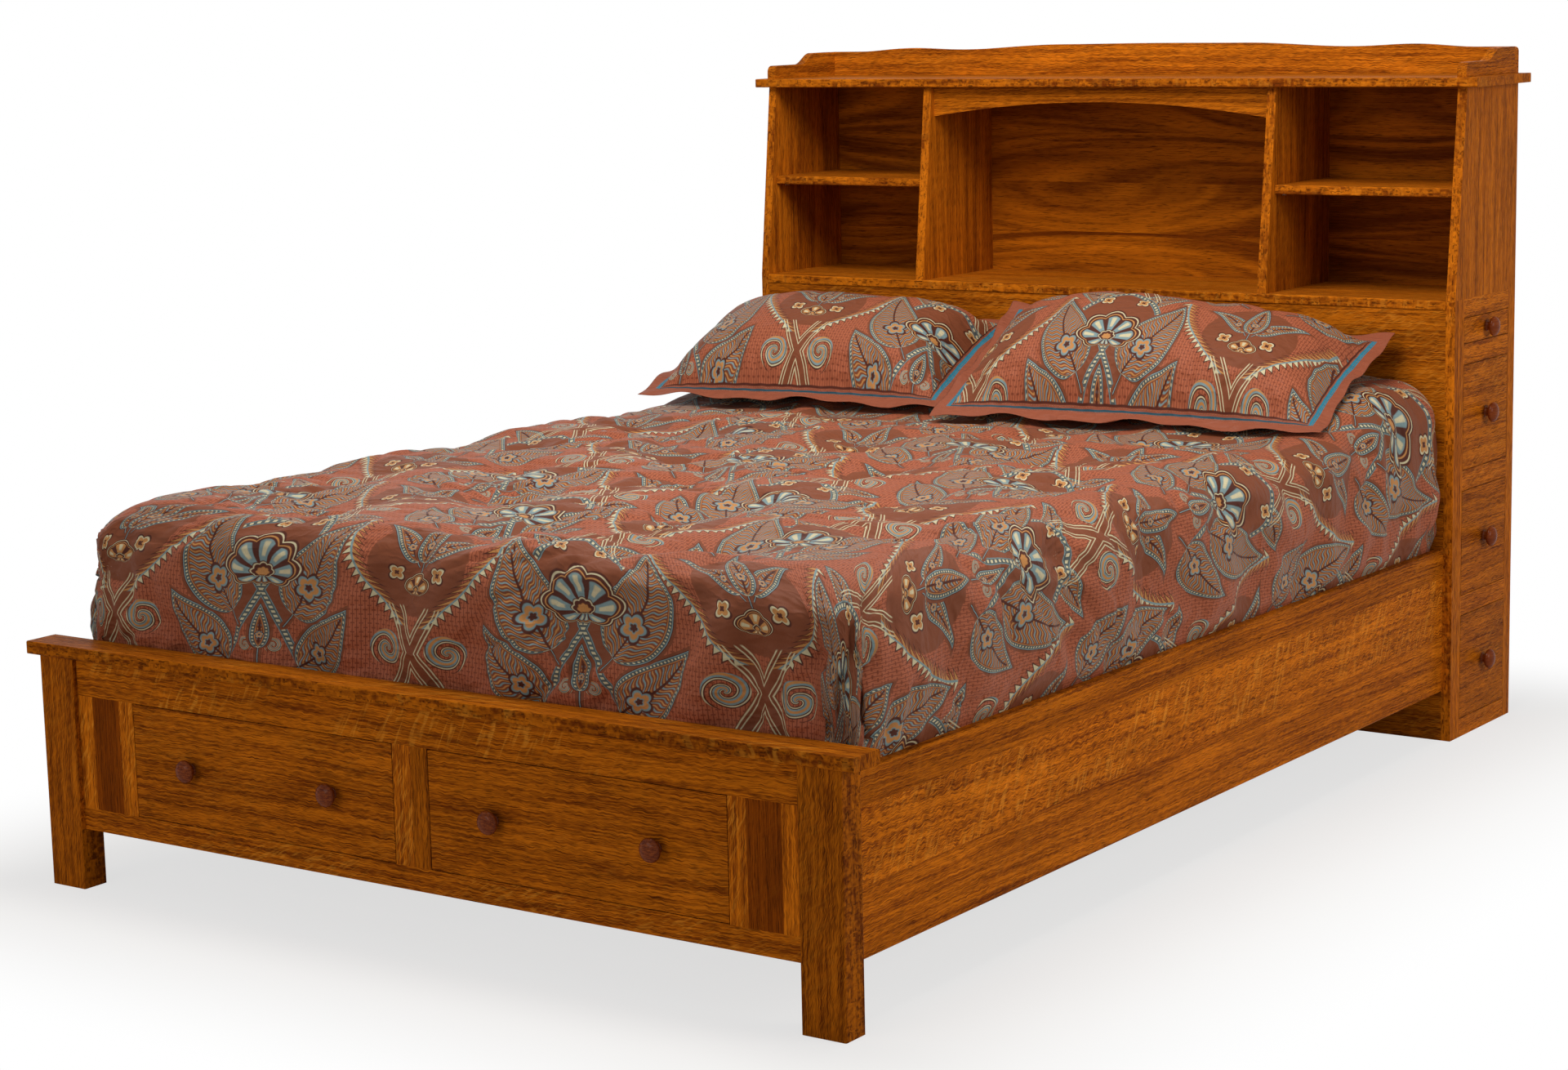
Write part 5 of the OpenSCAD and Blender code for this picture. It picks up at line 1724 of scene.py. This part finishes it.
    def folds(self, moved: np.ndarray, points: np.ndarray, normals: np.ndarray, share: np.ndarray) -> np.ndarray:
        """Add the deep pleats at the foot corners and the soft ones beside the pillows.

        Args:
            moved: The surface so far.
            points: The surface before its relief.
            normals: Its outward directions.
            share: Shares of the height.

        Returns:
            The moved points.
        """
        low = eased(-share, -0.9, -0.5) * eased(share, 0.02, 0.12)
        sway = crumple(points, (5.0, 5.0, 9.0), 13.0)
        width, depth = self.pleat
        for hand, strength in ((1, 1.0), (-1, 0.6)):
            dx = self.half - hand * points[:, 0]
            dy = points[:, 1] - self.foot
            near = eased(-np.hypot(np.maximum(dx, 0), np.maximum(dy, 0)), -0.3, -0.08)
            phase = (dx - dy + sway * 0.03) * np.pi / width
            valley = (1 - np.abs(np.sin(phase))) ** 2.2
            moved = moved - normals * (depth * strength * (valley - 0.16) * near * low)[:, None]
        beside = eased(points[:, 1], 0.4, 0.6) * eased(-share, -0.97, -0.8) * eased(share, 0.05, 0.2)
        width, depth = self.fold
        valley = (1 - np.abs(np.sin((points[:, 1] + sway * 0.02) * np.pi / width))) ** 2
        return moved - normals * (depth * (valley - 0.2) * beside * (np.abs(normals[:, 0]) > 0.5))[:, None]

    def tack_paths(self, points: np.ndarray, place: np.ndarray) -> list[np.ndarray]:
        """Return two crossing stitch lines at each tuft.

        Args:
            points: The surface.
            place: Places on the cloth.

        Returns:
            The lines.
        """
        wide, long = self.quilt
        reach = 0.012
        paths = []
        for row in range(-1, 9):
            for column in range(-6, 7):
                far = np.hypot(*(place - (column * wide / 2, self.quilt_from + row * long / 2)).T)
                middle = points[far.argmin()]
                if (row + column) % 2 or far.min() > reach or middle[1] > self.lift_from:
                    continue
                for way in points[np.argsort(far)[1:3]] - middle:
                    step = way / np.linalg.norm(way) * self.tack
                    paths.append(np.array([middle - step, middle + step]))
        return paths

    def close(self, piece: bpy.types.Object) -> None:
        """Turn the hem in under the cloth and close it.

        Args:
            piece: The comforter's outer cloth.
        """
        mesh = bmesh.new()
        mesh.from_mesh(piece.data)
        inset = 0.006
        rim = [edge for edge in mesh.edges if edge.is_boundary]
        made = bmesh.ops.extrude_edge_only(mesh, edges=rim)["geom"]
        for corner in (part for part in made if isinstance(part, bmesh.types.BMVert)):
            corner.co.x -= math.copysign(inset, corner.co.x) * (abs(corner.co.x) > self.half - self.turn)
            corner.co.y += inset * (corner.co.y < self.foot + self.turn)
            corner.co.z = self.hem + 0.0005
        rim = [edge for edge in mesh.edges if edge.is_boundary]
        bmesh.ops.contextual_create(mesh, geom=rim)
        bmesh.ops.recalc_face_normals(mesh, faces=mesh.faces[:])
        mesh.to_mesh(piece.data)
        mesh.free()

    def build(self) -> None:
        """Build the comforter."""
        points, faces, place, share = self.shell()
        made = mesh_object("comforter_quilt", points, faces, Jacquard("comforter_cloth").build())
        give_cloth_map(made, place)
        write_points(made, self.relief(points, read_normals(made), place, share))
        held = (share < 0.12) | (np.hypot(*self.tuft_off(place)) < 0.016)
        Settling(pressure=0.0, bend=0.5, cap=0.009).run(made, held)
        settled = read_points(made)
        under = self.top + self.rise(points[:, 1]) + 0.02 * eased(-points[:, 1], -0.4, -0.3)
        settled[:, 2] = np.minimum(settled[:, 2], under)
        write_points(made, settled)
        tacks = self.tack_paths(settled, place)
        smooth(made)
        self.pinch(made)
        self.close(made)
        Thread(pitch=0.004, length=0.0046).sew("comforter_tacks", made, tacks)
        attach(made, "bed")
        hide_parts("comforter")
        log.info("comforter: %d faces", len(made.data.polygons))


@dataclass(frozen=True)
class Sham:
    """A pillow sham: a crowned cushion in a flange.

    Attributes:
        name: The piece's name.
        node: The frame's node that it stands for.
        width: Its width with the flange.
        place: Its middle across and along the bed.
        turn: How far it is turned, in degrees.
        twist: How far its top left corner is lifted.
        shift: Where the pattern starts on its cloth.
        height: Its height with the flange.
        crown: How far the cushion stands up.
        lean: How far it leans back, in degrees.
        flange: The flange's width.
        cells: Faces across it and up it.
    """

    name: str
    node: str
    width: float
    place: Pair
    turn: float
    twist: float
    shift: Pair
    height: float = 0.43
    crown: float = 0.108
    lean: float = 19.0
    flange: float = 0.04
    cells: tuple[int, int] = (84, 48)

    @staticmethod
    def rim(u: np.ndarray, v: np.ndarray) -> np.ndarray:
        """Return which places lie on the outer edge."""
        return np.maximum(np.abs(u), np.abs(v)) > 0.9999

    def inner(self) -> Pair:
        """Return half the width and half the height of the cushion inside the flange."""
        return self.width / 2 - self.flange, self.height / 2 - self.flange

    def form(self, u: np.ndarray, v: np.ndarray, face: int) -> np.ndarray:
        """Return points of one side of the sham before it is laid down.

        Args:
            u: Places across, from -1 to 1.
            v: Places up it, from -1 to 1.
            face: 1 for the upper side, -1 for the lower.

        Returns:
            The points.
        """
        draw_u = 1 - 0.035 * (1 - v * v) * u * u
        draw_v = 1 - 0.05 * (1 - u * u) * v * v
        fu = u / (1 - 2 * self.flange / self.width)
        fv = v / (1 - 2 * self.flange / self.height)
        full = np.maximum(0, 1 - np.abs(fu) ** 3) ** 0.6 * np.maximum(0, 1 - np.abs(fv) ** 3) ** 0.6
        height = self.crown if face > 0 else self.crown * 0.2
        z = np.where(self.rim(u, v), 0, face * (0.0012 + height * full)) + self.twist * (1 + v) * (1 - u) / 4
        return np.column_stack([u * draw_u * self.width / 2, v * draw_v * self.height / 2, z])

    def wrinkles(self, across: np.ndarray, up: np.ndarray, edge: np.ndarray) -> np.ndarray:
        """Return the height of the wrinkles of the upper side.

        Args:
            across: Places across the sham.
            up: Places up it.
            edge: Distances outside the seam of the flange.

        Returns:
            The heights.
        """
        flat = np.column_stack([across, up, np.full(len(up), self.width)])
        seam = np.exp(-(((edge + 0.022) / 0.02) ** 2))
        along = np.where(self.width / 2 - np.abs(across) < self.height / 2 - np.abs(up), up, across)
        gather = np.sin(along * 2 * np.pi / 0.042 + crumple(flat, (9.0, 9.0, 1.0), 2.0) * 4) * 0.0028 * seam
        dents = crumple(flat, (5.0, 6.0, 1.0), 9.0) * 0.011
        creases = ridges(flat, (7.0, 16.0), 6.0, 0.3) * 0.006
        inside = eased(-edge, 0.0, 0.06)
        return gather + (dents + creases) * inside

    def seams(self, shift: float) -> np.ndarray:
        """Return the closed line round the upper side at a distance outside the flange's seam, before it is laid."""
        half_w, half_h = (half + shift for half in self.inner())
        corners = [(-half_w, -half_h), (half_w, -half_h), (half_w, half_h), (-half_w, half_h), (-half_w, -half_h)]
        steps = 60
        line = []
        for (xa, ya), (xb, yb) in zip(corners, corners[1:]):
            for k in range(steps):
                line.append((xa + (xb - xa) * k / steps, ya + (yb - ya) * k / steps))
        return np.array([*line, corners[0]])

    def stitch_path(self, laid: np.ndarray, shift: float) -> np.ndarray:
        """Lay the line at a distance outside the flange's seam on the sham.

        Args:
            laid: The sham's points, row after row.
            shift: The distance.

        Returns:
            Points a little over the upper side.
        """
        across, up = self.cells
        line = self.seams(shift)
        column = np.clip((line[:, 0] / self.width + 0.5) * across, 0, across - 1e-6)
        row = np.clip((line[:, 1] / self.height + 0.5) * up, 0, up - 1e-6)
        ci, ri = column.astype(int), row.astype(int)
        fc, fr = (column - ci)[:, None], (row - ri)[:, None]
        corner = ri * (across + 1) + ci
        low = laid[corner] * (1 - fc) + laid[corner + 1] * fc
        high = laid[corner + across + 1] * (1 - fc) + laid[corner + across + 2] * fc
        return low * (1 - fr) + high * fr + np.array([0, -0.001, 0.003])

    def lay(self, points: np.ndarray, seat: float) -> np.ndarray:
        """Lean, turn and place points."""
        lean = Matrix.Rotation(math.radians(self.lean), 3, "X")
        turn = Matrix.Rotation(math.radians(self.turn), 3, "Z")
        laid = points @ np.array(turn @ lean).T
        return laid + np.array([self.place[0], self.place[1], seat])

    def build(self, comforter: Comforter) -> None:
        """Build the sham on the comforter.

        Args:
            comforter: The comforter that it lies on.
        """
        nu, nv = self.cells
        us, vs = np.meshgrid(np.linspace(-1, 1, nu + 1), np.linspace(-1, 1, nv + 1))
        u, v = us.ravel(), vs.ravel()
        upper, lower = self.form(u, v, 1), self.form(u, v, -1)
        under = self.lay(lower, 0.0)
        seat = comforter.top + float((comforter.rise(under[:, 1]) - under[:, 2]).max()) + 0.001
        rim = self.rim(u, v)
        lower_number = np.arange(len(u))
        lower_number[~rim] = len(u) + np.arange(int((~rim).sum()))
        faces = []
        for j in range(nv):
            for i in range(nu):
                a, b = j * (nu + 1) + i, j * (nu + 1) + i + 1
                c, d = b + nu + 1, a + nu + 1
                faces.append((a, b, c, d))
                faces.append(tuple(lower_number[k] for k in (a, d, c, b)))
        flat = np.vstack([upper, lower[~rim]])
        cloth_u = np.concatenate([u, u[~rim]]) * self.width / 2
        cloth_v = np.concatenate([v, v[~rim]]) * self.height / 2
        inner = self.inner()
        finish = Jacquard(f"{self.name}_cloth", shift=self.shift, flange=inner).build()
        made = mesh_object(self.name, flat, faces, finish)
        give_cloth_map(made, np.column_stack([cloth_u, cloth_v]))
        edge = np.maximum(np.abs(cloth_u) - inner[0], np.abs(cloth_v) - inner[1])
        Settling(pressure=2.5, bend=0.3, cap=0.016).run(made, edge > -0.004)
        points = read_points(made)
        ripple = eased(edge, 0.0, self.flange)
        way = cloth_u * 21 + cloth_v * 27
        points[:, 2] += ripple * (0.005 * np.sin(way) + 0.004 * np.sin(way * 2.3 + 1.0))
        points[:, 2] += self.wrinkles(cloth_u, cloth_v, edge) * (np.arange(len(points)) < len(u))
        laid = self.lay(points, seat)
        floor = comforter.top + comforter.rise(laid[:, 1]) + 0.0005
        laid[:, 2] = np.maximum(laid[:, 2], floor)
        write_points(made, laid)
        paths = [self.stitch_path(laid, shift) for shift in (0.0022, 0.0096)]
        smooth(made)
        Thread().sew(f"{self.name}_stitches", made, paths)
        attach(made, "bed")
        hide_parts(self.node)
        log.info("%s: %d faces", self.name, len(made.data.polygons))


@dataclass
class Bedding:
    """The mattress, comforter and shams."""

    mattress: Mattress = Mattress()
    comforter: Comforter = Comforter()
    left: Sham = Sham("sham_cushion_left", "sham_left", 0.700, (-0.453, 0.656), 7.0, -0.015, (0.2685, 0.02))
    right: Sham = Sham("sham_cushion_right", "sham_right", 0.815, (0.3095, 0.668), 5.0, 0.050, (0.06, 0.06))

    def build(self) -> None:
        """Build the bedding from the mattress up."""
        self.mattress.build()
        self.comforter.build()
        self.left.build(self.comforter)
        self.right.build(self.comforter)


# Studio


@dataclass
class Studio:
    """The pale floor, soft lights, white surroundings and camera.

    Attributes:
        eye: Where the camera stands.
        heading: Its turn from the bed's length, in degrees.
        dip: How far it looks down, in degrees.
        roll: Its roll, in degrees.
        lens: Its focal length in mm on a 36 mm sensor.
        floor: Half the floor's size.
        soft: How bright the surroundings are.
    """

    eye: Triple = (3.2716, -4.7990, 1.4787)
    heading: float = 35.224
    dip: float = 9.702
    roll: float = -1.302
    lens: float = 73.845
    floor: float = 30.0
    soft: float = 0.35

    def camera(self) -> None:
        """Place the camera."""
        yaw, pitch, roll = (math.radians(a) for a in (self.heading, self.dip, self.roll))
        ahead = Vector((-math.sin(yaw) * math.cos(pitch), math.cos(yaw) * math.cos(pitch), -math.sin(pitch)))
        right = Vector((math.cos(yaw), math.sin(yaw), 0))
        up = right.cross(ahead)
        cos, sin = math.cos(roll), math.sin(roll)
        right, up = cos * right + sin * up, cos * up - sin * right
        data = bpy.data.cameras.new("camera")
        data.lens = self.lens
        data.sensor_width = 36.0
        data.sensor_fit = "HORIZONTAL"
        data.clip_end = 100.0
        camera = bpy.data.objects.new("camera", data)
        axes = Matrix((right, up, -ahead)).transposed().to_4x4()
        camera.matrix_world = Matrix.Translation(self.eye) @ axes
        bpy.context.scene.collection.objects.link(camera)
        bpy.context.scene.camera = camera

    def lamp(self, name: str, at: Triple, to: Triple, size: Pair, power: float, warm: str) -> None:
        """Add a soft box.

        Args:
            name: Its name.
            at: Where it hangs.
            to: Where it points.
            size: Its width and height.
            power: Its power in watts.
            warm: Its colour.
        """
        data = bpy.data.lights.new(name, "AREA")
        data.shape = "RECTANGLE"
        data.size, data.size_y = size
        data.energy = power
        data.color = paint(warm)[:3]
        lamp = bpy.data.objects.new(name, data)
        aim = Vector(to) - Vector(at)
        lamp.matrix_world = Matrix.Translation(at) @ aim.to_track_quat("-Z", "Y").to_matrix().to_4x4()
        bpy.context.scene.collection.objects.link(lamp)

    def surroundings(self) -> None:
        """Light the bed softly from all round, with white behind it where it is looked at or mirrored."""
        world = bpy.data.worlds.new("studio")
        bpy.context.scene.world = world
        bench = Bench(world)
        soft = bench.add("ShaderNodeBackground", {}, {"Color": paint("#F6F6F8"), "Strength": self.soft})
        white = bench.add("ShaderNodeBackground", {}, {"Color": WHITE, "Strength": 1.0})
        bench.add_end(bench.add("ShaderNodeMixShader", {}, {0: self.seen(bench), 1: soft, 2: white}))

    def seen(self, bench: Bench) -> Wire:
        """Return 1 where the floor or surroundings are looked at or mirrored, and 0 where they light the bed."""
        path = bench.add("ShaderNodeLightPath")
        return path.also("Is Camera Ray").most(path.also("Is Glossy Ray")).most(path.also("Is Transmission Ray"))

    def ground(self) -> None:
        """Lay the floor, which keeps the bed's soft shadow and fades to white away from it."""
        bench = Bench("studio_floor")
        place = bench.place()
        across = bench.across(place)
        half_wide, half_long = 0.84, 1.2
        beside, beyond = abs(across) - half_wide, abs(across.also("Y")) - half_long
        away = beside.most(0.0).length_with(beyond.most(0.0))
        white = away.rise(0.0, 0.55, 0.69, 1.0)
        mottle = bench.cloud(place, (2.0, 2.0, 2.0), 2.0)
        shade = bench.mixed(mottle, paint("#CDC9C2"), paint("#D0CCC6"))
        diffuse = bench.add("ShaderNodeBsdfDiffuse", {}, {"Color": shade})
        glow = bench.add("ShaderNodeEmission", {}, {"Color": WHITE, "Strength": 1.0})
        bench.add_end(bench.add("ShaderNodeMixShader", {}, {0: self.seen(bench) * white, 1: diffuse, 2: glow}))
        s = self.floor
        corners = np.array([(-s, -s, 0), (s, -s, 0), (s, s, 0), (-s, s, 0)], float)
        mesh_object("studio_floor", corners, [(0, 1, 2, 3)], bench.material)

    def build(self) -> None:
        """Build the studio."""
        self.camera()
        self.surroundings()
        self.ground()
        self.lamp("over", (0.3, -0.6, 2.8), (0.0, 0.6, 0.7), (1.6, 1.2), 60.0, "#FFFCF8")
        self.lamp("side", (4.4, 0.2, 1.9), (0.7, 0.1, 0.5), (2.0, 1.6), 62.0, "#FFFAF4")
        self.lamp("front", (-0.8, -5.0, 1.8), (0.0, -1.1, 0.3), (2.4, 1.6), 34.0, "#FFFAF4")
        bpy.context.scene.view_settings.view_transform = "Standard"


def main() -> None:
    """Dress and build the bed in order."""
    logging.basicConfig(level=logging.INFO, format="%(name)s: %(message)s")
    parts = (Studio(), Footboard(), Base(), Drawers(), HeadboardCase(), Bookcase(), Gallery(), Bedding())
    for part in parts:
        part.build()
        log.info("%s done", type(part).__name__)


if __name__ == "__main__":
    main()
